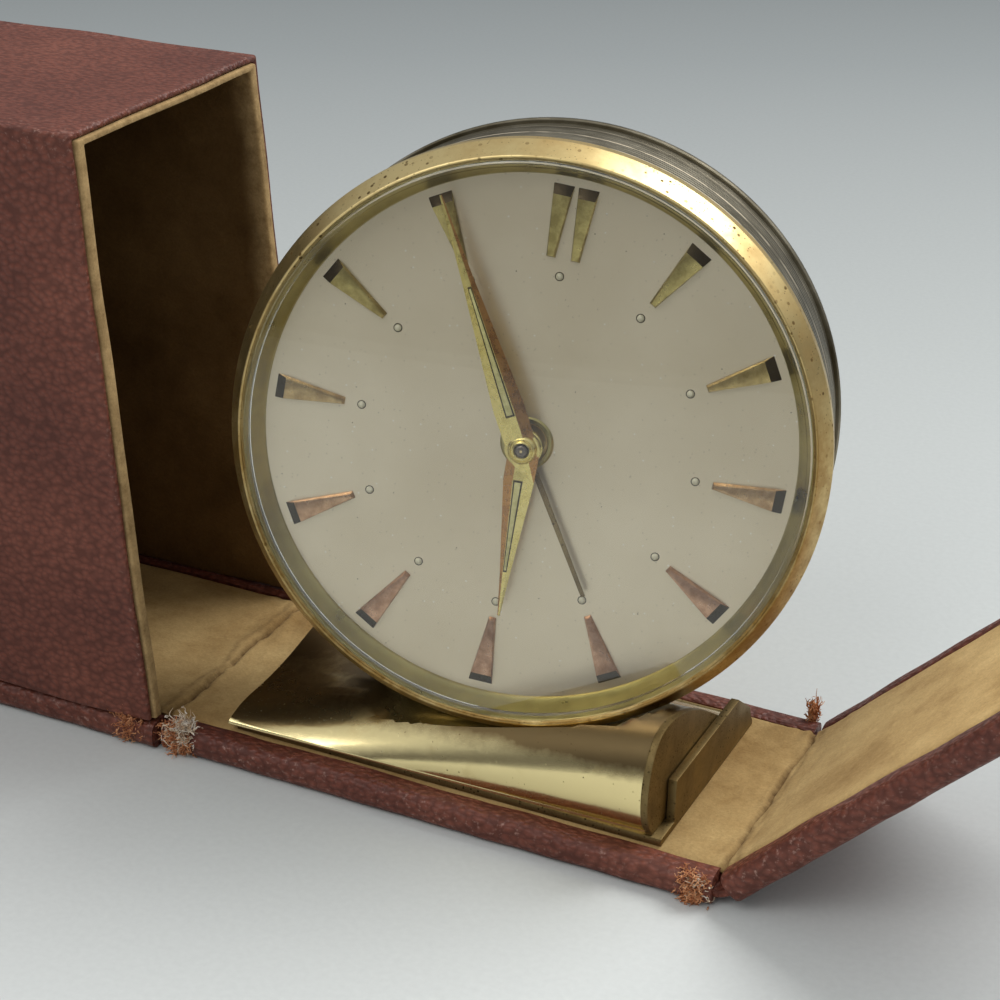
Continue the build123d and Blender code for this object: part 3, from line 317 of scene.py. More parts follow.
# Materials
class Paint:
    """The shader of one material or world. Each call adds a node and gives its output."""

    def __init__(self, owner, coordinates="Object"):
        """Start a material by name, or take up a material or world that is there."""
        self.owner = bpy.data.materials.new(owner) if isinstance(owner, str) else owner
        self.owner.use_nodes = True
        self.nodes, self.links = self.owner.node_tree.nodes, self.owner.node_tree.links
        self.shader = self.nodes.get("Principled BSDF")
        self.place = self.add("TexCoord", {}, coordinates)

    def feed(self, socket, value):
        """Link a socket to another one, or set its own value."""
        if isinstance(value, bpy.types.NodeSocket):
            self.links.new(value, socket)
        else:
            socket.default_value = (*value, 1) if socket.type == "RGBA" else value

    def add(self, kind, inputs, output=0, **settings):
        """Add a node with its settings and inputs."""
        node = self.nodes.new(f"ShaderNode{kind}")
        for key, value in settings.items():
            setattr(node, key, value)
        for key, value in inputs.items():
            self.feed(node.inputs[key], value)
        return node.outputs[output]

    def finish(self, inputs):
        """Feed the main shader and give the material."""
        for key, value in inputs.items():
            self.feed(self.shader.inputs[key], value)
        return self.owner

    def metal(self, colour, roughness, normal):
        """Finish the material as a metal."""
        return self.finish({"Base Color": colour, "Metallic": 1, "Roughness": roughness, "Normal": normal})

    def noise(self, scale, detail=4, roughness=0.5, output="Fac"):
        """Add a cloudy pattern."""
        inputs = {"Vector": self.place, "Scale": scale, "Detail": detail, "Roughness": roughness}
        return self.add("TexNoise", inputs, output)

    def along(self, axis):
        """Give the place along one axis."""
        return self.add("SeparateXYZ", {"Vector": self.place}, axis)

    def attribute(self, name):
        """Give a value that the mesh carries."""
        return self.add("Attribute", {}, "Fac", attribute_name=name)

    def ramp(self, factor, *stops):
        """Turn a factor into colours by stops of place and colour."""
        colour = self.add("ValToRGB", {"Fac": factor}, "Color")
        elements = colour.node.color_ramp.elements
        while len(elements) < len(stops):
            elements.new(0.5)
        for element, (place, stop_colour) in zip(elements, stops):
            element.position = place
            element.color = (*stop_colour, 1)
        return colour

    def span(self, value, low, high, new_low=0, new_high=1):
        """Map a value from one range to another, clamped."""
        inputs = {"Value": value, "From Min": low, "From Max": high, "To Min": new_low, "To Max": new_high}
        return self.add("MapRange", inputs, "Result")

    def mix(self, factor, first, second, blend="MIX"):
        """Mix two colours."""
        return self.add("Mix", {0: factor, 6: first, 7: second}, 2, data_type="RGBA", blend_type=blend)

    def tint(self, first, second):
        """Multiply two colours."""
        return self.mix(1, first, second, "MULTIPLY")

    def math(self, kind, first, second):
        """Work out one sum of two values."""
        return self.add("Math", {0: first, 1: second}, operation=kind)

    def times(self, first, second):
        """Multiply two values."""
        return self.math("MULTIPLY", first, second)

    def plus(self, first, second):
        """Add two values."""
        return self.math("ADD", first, second)

    def bump(self, height, strength, distance):
        """Give normals raised by a height pattern."""
        return self.add("Bump", {"Height": height, "Strength": strength, "Distance": distance}, "Normal")

    def specks(self, scale, size, seed):
        """Give a mask of scattered round specks, 1 inside them."""
        shifted = self.add("Mapping", {"Vector": self.place, "Location": (seed, -seed, seed / 3)}, "Vector")
        distance = self.add("TexVoronoi", {"Vector": shifted, "Scale": scale}, "Distance")
        chance = self.add("SeparateColor", {"Color": distance.node.outputs["Color"]}, "Red")
        return self.times(self.span(distance, size * 0.7, size, 1, 0), self.span(chance, 0.6, 0.65))


def grained_leather():
    """Reddish brown leather with a fine pebbled grain, paler near its edges, partly from real scuffs and
    partly as a painted highlight on the rounded edges.
    """
    paint = Paint("grained_leather")
    base = paint.ramp(
        paint.noise(55, 3),
        (0.35, (0.13, 0.034, 0.02)),
        (0.5, (0.165, 0.046, 0.027)),
        (0.65, (0.2, 0.06, 0.036)),
    )
    wobble = paint.noise(420, 3, output="Color")
    bent_place = paint.add("Mix", {0: 0.0009, 4: paint.place, 5: wobble}, 1, data_type="VECTOR")
    stretched = paint.add("Mapping", {"Vector": bent_place, "Scale": (0.75, 1.25, 1)}, "Vector")
    cells = {"Vector": stretched, "Scale": 1750, "Smoothness": 0.35}
    pebbles = paint.span(paint.add("TexVoronoi", cells, "Distance", feature="SMOOTH_F1"), 0.1, 0.75, 1, 0)
    base = paint.tint(base, paint.mix(pebbles, (0.62, 0.58, 0.56), (1.2, 1.18, 1.16)))
    scuffs = paint.noise(1700, 7, 0.7)
    # Pale marks near the edges: partly real scuffs, partly a painted highlight where the rounded edge faces
    # the light.
    rubbed_and_highlit = paint.times(paint.attribute("edge_wear_and_highlight"), paint.span(scuffs, 0.56, 0.68))
    return paint.finish(
        {
            "Base Color": paint.mix(rubbed_and_highlit, base, (0.42, 0.25, 0.2)),
            "Specular IOR Level": 0.4,
            "Roughness": paint.span(pebbles, 0, 1, 0.6, 0.38),
            "Normal": paint.bump(paint.plus(pebbles, paint.times(scuffs, 0.5)), 0.9, 0.00014),
        }
    )


def soft_velour(name, mark, deep, middle, pale, marked):
    """Soft lining with a fine pile, paler towards the flap as painted light, and given the marked colour,
    painted light or shade, where an attribute says so.
    """
    paint = Paint(name)
    base = paint.ramp(paint.noise(95, 7, 0.65), (0.32, deep), (0.5, middle), (0.68, pale))
    patches = paint.span(paint.noise(600, 6, 0.7), 0.3, 0.6, 0.35, 1)
    base = paint.mix(paint.times(paint.attribute(mark), patches), base, marked)
    # Painted light: the lining turns paler towards and over the flap.
    painted_flap_light = paint.span(paint.along("X"), 0.028, 0.062)
    base = paint.tint(base, paint.mix(painted_flap_light, (0.95, 0.95, 0.95), (1.7, 1.7, 1.72)))
    pile = paint.noise(3500, 3, 0.7)
    height = paint.plus(paint.noise(450, 5, 0.6), paint.times(pile, 0.35))
    return paint.finish(
        {
            "Base Color": paint.tint(base, paint.mix(pile, (0.66, 0.64, 0.6), (1.3, 1.3, 1.3))),
            "Roughness": 0.95,
            "Specular IOR Level": 0.15,
            "Sheen Weight": 0.12,
            "Sheen Roughness": 0.5,
            "Sheen Tint": (0.9, 0.7, 0.4),
            "Normal": paint.bump(height, 0.6, 0.00025),
        }
    )


def aged_brass(name, bright, tarnish, roughness, speck_scale, speck_size, haze, seed):
    """Brass of one colour that clouds and specks into another."""
    paint = Paint(name)
    cloud = paint.noise(160 + seed, 7, 0.65)
    clouds = paint.span(cloud, 0.5 - haze, 0.85 - haze)
    specks = paint.specks(speck_scale, speck_size, seed)
    fine = paint.specks(speck_scale * 2.6, speck_size, seed + 3)
    patch = paint.span(paint.noise(210 + seed, 5, 0.6), 0.42, 0.56, 0.25, 1)
    both = paint.times(paint.math("MAXIMUM", specks, paint.times(fine, 0.7)), patch)
    dark = tuple(channel * 0.34 for channel in tarnish)
    rough = paint.plus(paint.plus(paint.times(clouds, 0.22), roughness), paint.times(both, 0.3))
    height = paint.plus(paint.times(paint.noise(2600, 4, 0.7), 0.5), cloud)
    return paint.metal(
        paint.mix(both, paint.mix(clouds, bright, tarnish), dark),
        rough,
        paint.bump(paint.math("SUBTRACT", height, both), 0.12, 0.00006),
    )


def paint_saddle_dark_reflection():
    """Darken the saddle's brass above a line that climbs from its left tip to its right dome, as a painted
    reflection of the dark drum.
    """
    paint = Paint(saddle_brass)
    line = paint.plus(paint.times(paint.along("X"), 0.122), 0.0078)
    above = paint.math("SUBTRACT", paint.along("Z"), line)
    ragged = paint.times(paint.noise(230, 7, 0.7), 0.0022)
    over = paint.span(paint.plus(above, ragged), 0.0006, 0.0021, 0, 0.93)
    bright, rough = [paint.shader.inputs[key].links[0].from_socket for key in ("Base Color", "Roughness")]
    paint.finish(
        {
            "Base Color": paint.mix(over, bright, (0.165, 0.105, 0.045)),
            "Roughness": paint.plus(rough, paint.times(over, 0.14)),
        }
    )


def redden_bezel_low():
    """Redden the bezel's brass low down."""
    paint = Paint(bezel_brass)
    patches = paint.span(paint.noise(260, 7, 0.7), 0.36, 0.56, 0, 0.85)
    over = paint.times(paint.span(paint.along("Z"), 0.058, 0.03), patches)
    bright = paint.shader.inputs["Base Color"].links[0].from_socket
    paint.finish({"Base Color": paint.mix(over, bright, (0.37, 0.22, 0.06))})


def dark_drum_bronze():
    """Olive bronze of the drum's side, with fine lines turned round it."""
    paint = Paint("dark_drum_bronze")
    cloud = paint.noise(120, 6, 0.6)
    base = paint.ramp(cloud, (0.3, (0.11, 0.092, 0.055)), (0.5, (0.2, 0.18, 0.13)), (0.7, (0.3, 0.275, 0.21)))
    inputs = {"W": paint.attribute("axis_height"), "Scale": 2300, "Detail": 4, "Roughness": 0.75}
    turned = paint.add("TexNoise", inputs, "Fac", noise_dimensions="1D")
    broken = paint.span(paint.noise(420), 0.38, 0.55, 0.25, 1)
    base = paint.mix(paint.times(paint.span(turned, 0.56, 0.63), broken), base, (0.62, 0.54, 0.4))
    base = paint.mix(paint.span(turned, 0.36, 0.46, 0.5, 0), base, (0.05, 0.042, 0.026))
    rough = paint.span(cloud, 0.3, 0.7, 0.3, 0.46)
    return paint.metal(base, rough, paint.bump(paint.noise(2200, 4, 0.7), 0.15, 0.00005))


def champagne_dial():
    """Satin champagne paint with fine dust and age specks."""
    paint = Paint("champagne_dial")
    base = paint.ramp(paint.noise(45), (0.35, (0.65, 0.555, 0.405)), (0.65, (0.75, 0.655, 0.5)))
    fine = paint.times(paint.specks(1900, 0.17, 11), 0.28)
    spots = paint.math("MAXIMUM", paint.specks(620, 0.045, 5), fine)
    base = paint.mix(spots, base, (0.14, 0.1, 0.06))
    base = paint.mix(paint.times(paint.specks(1100, 0.12, 23), 0.6), base, (0.85, 0.83, 0.8))
    grain = paint.bump(paint.noise(4200, 3, 0.7), 0.12, 0.00003)
    return paint.finish({"Base Color": base, "Metallic": 0.8, "Roughness": 0.33, "Normal": grain})


def clear_crystal():
    """Clear domed crystal that lets light and shadows through."""
    paint = Paint("clear_crystal")
    rays = {0: paint.add("LightPath", {}, "Is Shadow Ray")}
    rays |= {1: paint.shader.outputs["BSDF"], 2: paint.add("BsdfTransparent", {}, "BSDF")}
    paint.feed(paint.nodes["Material Output"].inputs["Surface"], paint.add("MixShader", rays, "Shader"))
    return paint.finish(
        {"Base Color": (0.98, 0.99, 0.97), "Roughness": 0.02, "IOR": 1.49, "Transmission Weight": 1}
    )


def plain_metal(name, colour, roughness, scale=1500):
    """Metal with fine brushing and faint clouding."""
    paint = Paint(name)
    cloud = paint.noise(scale / 6, 5, 0.6)
    darker = tuple(channel * 0.7 for channel in colour)
    base = paint.ramp(cloud, (0.3, darker), (0.6, colour))
    rough = paint.span(cloud, 0.3, 0.7, roughness, roughness + 0.12)
    return paint.metal(base, rough, paint.bump(paint.noise(scale, 4, 0.7), 0.12, 0.00004))


def marker_metal():
    """Brushed gilt that goes from green gold high on the dial to copper rose low on it."""
    paint = Paint("marker_metal")
    high = paint.span(paint.along("Z"), 0.024, 0.05)
    cloud = paint.noise(700, 6, 0.65)
    tone = paint.mix(high, (0.56, 0.33, 0.21), (0.5, 0.41, 0.17))
    dull = paint.mix(high, (0.34, 0.17, 0.09), (0.3, 0.24, 0.09))
    base = paint.mix(paint.span(cloud, 0.4, 0.62), tone, dull)
    rough = paint.span(cloud, 0.3, 0.7, 0.24, 0.4)
    return paint.metal(base, rough, paint.bump(paint.noise(5200, 3, 0.7), 0.2, 0.00003))


def hand_metal():
    """Gilt of the hands, green gold on the lit slope and copper brown as painted shade on the other."""
    paint = Paint("hand_metal")
    cloud = paint.noise(900, 6, 0.65)
    bright = paint.ramp(cloud, (0.35, (0.62, 0.5, 0.17)), (0.6, (0.8, 0.67, 0.27)))
    shaded = paint.ramp(cloud, (0.35, (0.36, 0.17, 0.06)), (0.6, (0.52, 0.27, 0.09)))
    base = paint.mix(paint.attribute("shaded_slope"), bright, shaded)
    rough = paint.span(cloud, 0.3, 0.7, 0.2, 0.36)
    return paint.metal(base, rough, paint.bump(paint.noise(5200, 3, 0.7), 0.12, 0.00002))


def clouded_paint(name, scale, detail, roughness, relief, *stops):
    """Dull paint or fibre that clouds between colours."""
    paint = Paint(name)
    cloud = paint.noise(scale, detail)
    rest = {"Roughness": roughness, "Normal": paint.bump(cloud, relief, 0.00005)}
    return paint.finish({"Base Color": paint.ramp(cloud, *stops), **rest})


leather = grained_leather()
# The beige lining's marked colour is painted shade in the creases' cracks.
velour = soft_velour(
    "beige_velour", "crease_crack_shade",
    (0.26, 0.155, 0.055), (0.4, 0.265, 0.11), (0.5, 0.35, 0.155), (0.09, 0.045, 0.015),
)
# The cover's lining is the beige velour darkened as painted shade inside the cover, and made tan as painted
# light along its lit mouth.
cover_velour_painted_shade = soft_velour(
    "cover_velour_painted_shade", "lit_mouth_edge",
    (0.1, 0.052, 0.016), (0.15, 0.082, 0.028), (0.2, 0.115, 0.042), (0.5, 0.34, 0.16),
)
saddle_brass = aged_brass("saddle_brass", (0.93, 0.78, 0.4), (0.68, 0.5, 0.2), 0.2, 1500, 0.13, -0.05, 2)
# Painted reflection of the dark drum on the saddle's upper brass.
paint_saddle_dark_reflection()
rail_brass = aged_brass("rail_brass", (0.3, 0.22, 0.095), (0.17, 0.115, 0.045), 0.42, 2600, 0.36, 0.2, 9)
bezel_brass = aged_brass("bezel_brass", (0.72, 0.57, 0.27), (0.44, 0.29, 0.11), 0.38, 1200, 0.27, 0.06, 6)
redden_bezel_low()
back_brass = aged_brass("back_brass", (0.78, 0.58, 0.28), (0.5, 0.34, 0.13), 0.26, 600, 0.14, 0.0, 4)
drum_bronze = dark_drum_bronze()
dial_paint = champagne_dial()
crystal_glass = clear_crystal()
ring_silver = plain_metal("ring_silver", (0.46, 0.39, 0.15), 0.26)
marker_gold = marker_metal()
hand_gold = hand_metal()
patina_and_painted_shade = plain_metal("patina_and_painted_shade", (0.075, 0.055, 0.03), 0.42, 2400)
steel = plain_metal("steel", (0.6, 0.6, 0.6), 0.25)
dark_steel = plain_metal("dark_steel", (0.2, 0.17, 0.15), 0.3)
works_brass = plain_metal("works_brass", (0.8, 0.62, 0.3), 0.25)
bead_paint = clouded_paint(
    "bead_glass", 1500, 3, 0.3, 0, (0.3, (0.5, 0.46, 0.32)), (0.7, (0.66, 0.62, 0.48))
)
lume = clouded_paint("lume_paint", 1800, 4, 0.6, 0.3, (0.3, (0.4, 0.36, 0.13)), (0.7, (0.62, 0.57, 0.27)))
fibre = clouded_paint(
    "orange_fibre", 1300, 4, 0.9, 0,
    (0.35, (0.32, 0.11, 0.045)), (0.5, (0.56, 0.23, 0.095)), (0.66, (0.76, 0.42, 0.22))
)
pale_fibre = clouded_paint(
    "pale_fibre", 1300, 4, 0.9, 0,
    (0.35, (0.45, 0.3, 0.18)), (0.5, (0.66, 0.54, 0.4)), (0.66, (0.84, 0.78, 0.69))
)

# The camera stands where the photograph was taken
camera_data = bpy.data.cameras.new("camera")
camera = add_object("camera", camera_data)
camera_right = Vector((0.902, 0.430, 0.022)).normalized()
camera_back = Vector((0.381, -0.820, 0.428))
camera_back = (camera_back - camera_back.dot(camera_right) * camera_right).normalized()
camera_up = camera_back.cross(camera_right)
camera_turn = Matrix((camera_right, camera_up, camera_back)).transposed().to_4x4()
camera.matrix_world = Matrix.Translation((0.0864, -0.1862, 0.1256)) @ camera_turn
camera_data.lens = 82.8
camera_data.sensor_width = 36
camera_data.clip_start = 0.01
bpy.context.scene.camera = camera

# Leather boards of the case, each with a rolled hem round its lining
hem_radius = 0.0011
hem_slope = 0.0003
hem_drop = 0.0002
lining_thickness = 0.0008
edge_mark_reach = 0.0016
leather_wander = 0.00016
leather_wander_size = 0.005


def add_edge_wear_and_highlight(piece, reach_from_edge):
    """Mark how pale each point is, from how near it lies to an outer edge, partly for real wear and partly as
    a painted highlight on the rounded edge.
    """

    def worn(co):
        """Give the pale mark at one place, patchy along the edge."""
        patch = 0.6 + 0.8 * noise.noise(co / 0.006)
        return max(0, 1 - max(reach_from_edge(co), 0) / edge_mark_reach) * max(0, min(1, patch))

    mark_points(piece, "edge_wear_and_highlight", worn)


def leather_board(name, left, right, half_depth, open_left, open_right, tip_radius):
    """Make a flat leather board with a rolled hem, its foot at zero, cut square at its open ends."""
    extra = border + 0.001
    low = left - extra if open_left else left
    high = right + extra if open_right else right
    piece = block(name, (low, -half_depth, 0), (high, half_depth, lining_level))
    start_edit(piece)
    if tip_radius:
        select_parts(
            piece,
            "EDGE",
            lambda edge: all(end.co.x > high - 1e-6 for end in edge.verts)
            and abs(edge.verts[0].co.z - edge.verts[1].co.z) > 1e-4,
        )
        bpy.ops.mesh.bevel(offset=tip_radius, segments=8, affect="EDGES")
    select_parts(piece, "FACE", lambda face: abs(face.normal.z) > 0.9)
    bpy.ops.mesh.region_to_loop()
    bpy.ops.mesh.bevel(offset=hem_radius, segments=4, affect="EDGES")
    select_parts(
        piece, "FACE", lambda face: face.normal.z > 0.99 and face.calc_center_median().z > lining_level - 1e-5
    )
    bpy.ops.mesh.inset(thickness=border - hem_radius - hem_slope, depth=0)
    bpy.ops.mesh.inset(thickness=hem_slope, depth=-hem_drop)
    bpy.ops.mesh.extrude_region_move(TRANSFORM_OT_translate={"value": (0, 0, 0.0001 - lining_thickness)})
    for open_end, place, side in ((open_left, left, -1), (open_right, right, 1)):
        if open_end:
            bpy.ops.mesh.select_all(action="SELECT")
            cut = {"plane_co": (place, 0, 0), "plane_no": (side, 0, 0)}
            bpy.ops.mesh.bisect(clear_outer=True, use_fill=True, **cut)
    end_edit()
    slice_up(piece, 0, steps_between(left, right, int((right - left) / 0.0015)))
    wander(piece, leather_wander, leather_wander_size, 3)
    for point in piece.data.vertices:
        point.co.z = max(point.co.z, 0)
    add_edge_wear_and_highlight(piece, lambda co: min(half_depth - abs(co.y), right - co.x if tip_radius else 1))
    return piece


panel_half = half_span - crease_gap
base_leather = leather_board("base_leather", -panel_half, panel_half, base_half_depth, True, True, 0)
smooth(base_leather)
finish_piece(base_leather, "base", leather, "leather", "base_panel")

spine_left = -(half_span + cover_height + cover_wall)
spine_leather = leather_board(
    "spine_leather", spine_left, -half_span - crease_gap, base_half_depth + 0.0005, False, True, 0
)
smooth(spine_leather)
finish_piece(spine_leather, "spine", leather, "leather", "spine_panel")

flap_leather = leather_board("flap_leather", crease_gap, flap_length, base_half_depth, True, False, 0.006)
put(flap_leather, Matrix.Translation((0, 0, -lining_level)))
put(flap_leather, flap_place)
smooth(flap_leather)
finish_piece(flap_leather, "flap", leather, "leather", "flap_panel")

# Linings that run on over the creases, puckered where they fold
crease_bend = 0.0016
pucker_reach = 0.0045


def bent(along, height, angle, radius=crease_bend):
    """Give the place of a point along and above a strip that bends up at a crease."""
    if angle == 0:
        return along, height
    reach = radius * sin(angle / 2) / cos(angle / 2)
    if along <= -reach:
        return along, height
    turned = min((along + reach) / radius, angle)
    beyond = along + reach - radius * turned
    x = -reach + radius * sin(turned) + beyond * cos(turned) - height * sin(turned)
    z = radius * (1 - cos(turned)) + beyond * sin(turned) + height * cos(turned)
    return x, z


def crack_middle(y, seed):
    """Give how far a crease's crack strays from the straight line at a depth."""
    broad = 0.0009 * noise.noise(Vector((y / 0.006, seed, 0)))
    return broad + 0.0003 * noise.noise(Vector((y / 0.0014, seed, 9)))


def pucker(along, y, seed):
    """Give how far the lining stands up or sinks at a place near a crease."""
    middle = crack_middle(y, seed)
    near = exp(-((along / pucker_reach) ** 2))
    crack = -0.0006 * exp(-(((along - middle) / 0.0003) ** 2))
    lip = 0.00022 * exp(-(((along - middle) / 0.001) ** 2))
    folds = 0.00022 * near * noise.noise(Vector((along / 0.0011, y / 0.0032, seed)))
    rest = 0.00007 * noise.noise(Vector((along / 0.006, y / 0.006, seed + 5)))
    return crack + lip + folds + rest


def lining_strip(name, start, end, half_depth, angle, side, tip_radius, seed):
    """Make one lining from the base's middle over a crease to the end of the next panel."""
    piece = grid(name, 220, 80)
    # Painted shade: a dark mark along each crease's crack, with a fainter one beside it.
    crack_shade = piece.data.attributes.new("crease_crack_shade", "FLOAT", "POINT")
    for index, point in enumerate(piece.data.vertices):
        share = 2 * (point.co.x + 0.5) - 1
        along = start * (1 - (1 + share) ** 0.8) if share < 0 else end * share**1.25
        depth = 2 * half_depth * point.co.y
        crack = exp(-(((along - crack_middle(depth, seed)) / 0.0004) ** 2))
        beside = exp(-(((along - crack_middle(depth, seed + 5) - 0.0012) / 0.0003) ** 2))
        strength = 0.85 + 0.5 * noise.noise(Vector((point.co.y * 30, seed, 3)))
        crack_shade.data[index].value = (crack + 0.5 * beside) * strength
        half = half_depth
        if tip_radius and along > end - tip_radius:
            into = along - (end - tip_radius)
            half -= tip_radius - max(tip_radius**2 - into**2, 0) ** 0.5
        y = 2 * half * point.co.y
        edge_dip = -0.00035 * exp(-(((half - abs(y)) / 0.0004) ** 2))
        x, z = bent(along, pucker(along, y, seed) + edge_dip, angle)
        point.co = (side * (half_span + x), y, lining_level + z)
    thicken(piece, lining_thickness - 0.0001)
    smooth(piece, 50)
    return piece


lining_half = base_half_depth - border + 0.0002
right_lining = lining_strip(
    "right_lining", -half_span, flap_length - border, lining_half, radians(flap_angle), 1, 0.0032, 2
)
finish_piece(right_lining, "", velour, "lining", "base_lining", "flap_lining")
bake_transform(right_lining)

left_lining = lining_strip("left_lining", -half_span, cover_height - mouth_gap, lining_half, 0, -1, 0, 7)
finish_piece(left_lining, "", velour, "lining", "spine_lining")
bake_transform(left_lining)

# Thin leather under the two creases
crease_leather_thickness = 0.0007
crease_leather_reach = 0.0016


def crease_strip(name, angle, side):
    """Make the thin leather that joins two boards under their crease."""
    piece = grid(name, 14, 60)
    for point in piece.data.vertices:
        along = 2 * crease_leather_reach * point.co.x
        y = 2 * (base_half_depth - 0.0007) * point.co.y
        rough = 0.0001 * noise.noise(Vector((along / 0.001, y / 0.0015, side)))
        x, z = bent(along, -0.0014 + rough, angle)
        point.co = (side * (half_span + x), y, lining_level + z)
    thicken(piece, crease_leather_thickness)
    smooth(piece, 60)
    return piece


right_crease = crease_strip("right_crease_leather", radians(flap_angle), 1)
finish_piece(right_crease, "", leather, "leather", "crease_ribs")
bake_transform(right_crease)
left_crease = crease_strip("left_crease_leather", 0, -1)
finish_piece(left_crease, "", leather, "leather")
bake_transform(left_crease)


# The cover, a leather box over a lined board, open at its mouth and foot
def open_box(name, outer, inner, foot, mouth):
    """Make a box wall between an outer and an inner box, open at its mouth and its foot."""
    shells = []
    for left, half, top in (outer, inner):
        shell = block(name, (left, -half, foot), (mouth, half, top))
        start_edit(shell)
        select_parts(shell, "FACE", lambda face: face.normal.x > 0.9 or face.normal.z < -0.9)
        bpy.ops.mesh.delete(type="FACE")
        end_edit()
        shells.append(shell)
    shells[1].data.flip_normals()
    piece = join_pieces(name, shells)
    start_edit(piece)
    bpy.ops.mesh.select_all(action="DESELECT")
    bpy.ops.mesh.select_mode(type="EDGE")
    bpy.ops.mesh.select_non_manifold()
    bpy.ops.mesh.bridge_edge_loops()
    bpy.ops.mesh.select_all(action="SELECT")
    bpy.ops.mesh.normals_make_consistent(inside=False)
    end_edit()
    return piece


def soften_box(piece, radius, segments, seed):
    """Round a box's edges, cut it into loops and let it wander like worked leather."""
    modify(piece, "BEVEL", width=radius, segments=segments, limit_method="ANGLE", angle_limit=radians(40))
    slice_up(piece, 0, steps_between(0, cover_height, 26))
    slice_up(piece, 0, steps_between(cover_height - 0.005, cover_mouth, 7))
    slice_up(piece, 2, steps_between(0, cover_span, 24))
    slice_up(piece, 1, steps_between(-cover_half_depth, cover_half_depth, 12))
    wander(piece, 0.00022, 0.012, seed)


leather_skin = 0.0007
board_inset = leather_skin + 0.00005
cover_top = cover_span + cover_end_wall
cover_foot = -(lining_thickness - foot_gap)
cover_mouth = cover_height - mouth_gap
outer_half = cover_half_depth + cover_wall
cover_leather = open_box(
    "cover_leather",
    (-cover_wall, outer_half, cover_top),
    (-cover_wall + leather_skin, outer_half - leather_skin, cover_top - leather_skin),
    cover_foot,
    cover_mouth - 0.0003,
)
soften_box(cover_leather, 0.0009, 4, 4)
add_edge_wear_and_highlight(
    cover_leather,
    lambda co: min(
        hypot(cover_top - co.z, outer_half - abs(co.y)),
        hypot(co.x + cover_wall, outer_half - abs(co.y)),
        hypot(co.x + cover_wall, cover_top - co.z),
        cover_mouth - co.x,
    ),
)
put(cover_leather, fold_place)
smooth(cover_leather, 50)
finish_piece(cover_leather, "cover", leather, "leather", "cover_shell")

lined_board = open_box(
    "cover_lined_board",
    (-cover_wall + board_inset, outer_half - board_inset, cover_top - board_inset),
    (0, cover_half_depth, cover_span),
    cover_foot,
    cover_mouth,
)
soften_box(lined_board, 0.00028, 3, 4)
# Painted light: a tan band along the cover's lit mouth.
mark_points(
    lined_board,
    "lit_mouth_edge",
    lambda co: max(0, min(1, 1.3 - (cover_mouth - co.x) / (0.0022 + 0.0012 * noise.noise(co / 0.004)))),
)
put(lined_board, fold_place)
smooth(lined_board, 50)
finish_piece(lined_board, "cover", cover_velour_painted_shade, "lining", "cover_lining")

# Thin leather hinge between the spine and the foot of the cover's far wall
fold_foot, fold_top = 0.001, 0.0052
fold_leather = block(
    "fold_leather",
    (spine_left - 0.0003, -base_half_depth, fold_foot),
    (spine_left + 0.0004, base_half_depth, fold_top),
)
slice_up(fold_leather, 2, steps_between(fold_foot, fold_top, 10))
modify(fold_leather, "BEVEL", width=0.0002, segments=2, limit_method="ANGLE")
smooth(fold_leather)
finish_piece(fold_leather, "", leather, "leather")
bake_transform(fold_leather)

# Brass fittings of the case
for node, name, body, metal, bevel, angle in (
    ("tray", "tray_brass", "base", rail_brass, 0.00018, 30),
    ("tray_rivets", "rivet_brass", "base", rail_brass, 0.00012, 30),
    ("snap_stud", "stud_brass", "cover", rail_brass, 0.0001, 30),
    ("snap_socket", "socket_brass", "flap", rail_brass, 0.0001, 30),
    ("saddle", "saddle_skin", "base", saddle_brass, 0, 40),
    ("saddle_end_plate", "end_leaf", "base", rail_brass, 0.00018, 30),
):
    finish_piece(worn_copy(node, name, bevel, angle), body, metal, "saddle_brass", node)

# Drum, bezel, crystal and ring, turned on the dial's axis
rear_rim = 0.0009
rear_rim_front = drum_back + rear_rim
groove_pitch = (band_front - rear_rim_front) / (groove_count + 1)
drum_wall = 0.0008
drum_outline = [(drum_radius - drum_wall, band_front), (drum_radius - 0.0001, band_front)]
drum_outline.append((drum_radius, band_front - 0.0001))
for groove in range(groove_count):
    level = band_front - (groove + 1) * groove_pitch
    for depth, part in ((0, 4), (0.8, 12), (0.8, -12), (0, -4)):
        drum_outline.append((drum_radius - groove_depth * depth, level + groove_pitch / part))
drum_outline += [
    (drum_radius, rear_rim_front), (rim_radius - 0.0002, rear_rim_front),
    (rim_radius, rear_rim_front - 0.0002), (rim_radius, drum_back + 0.0002),
    (rim_radius - 0.0002, drum_back), (drum_radius - drum_wall, drum_back),
]
drum_side = lathe("drum_side", ring_outline(drum_outline))
mark_points(drum_side, "axis_height", lambda co: co.z)
set_on_dial(drum_side, 20, "clock", drum_bronze, "drum_bronze", "drum_band")

bezel_outline = [
    (bezel_bore_radius, band_front), (rim_radius - 0.0001, band_front),
    (rim_radius, band_front + 0.0001), (rim_radius, 0.00085), (rim_radius - 0.00008, 0.00105),
    (bezel_inner_radius + 0.00048, bezel_front - 0.00004),
    (bezel_inner_radius + 0.00038, bezel_front),
    (bezel_inner_radius + 0.00026, bezel_front - 0.00004),
    (bezel_inner_radius + 0.0002, bezel_front - 0.0002),
    (bezel_inner_radius, bezel_front - 0.0003), (bezel_inner_radius, bezel_front - 0.00035),
    (bezel_bore_radius, bezel_front - 0.00035),
]
bezel_ring = lathe("bezel_ring", ring_outline(bezel_outline), 200)
set_on_dial(bezel_ring, 20, "clock", bezel_brass, "bezel_brass", "bezel")

crystal_back = 0.0022
crystal_shoulder = 0.003
crystal_rise = 0.0015
crystal_thickness = 0.00055
dome_steps = 26


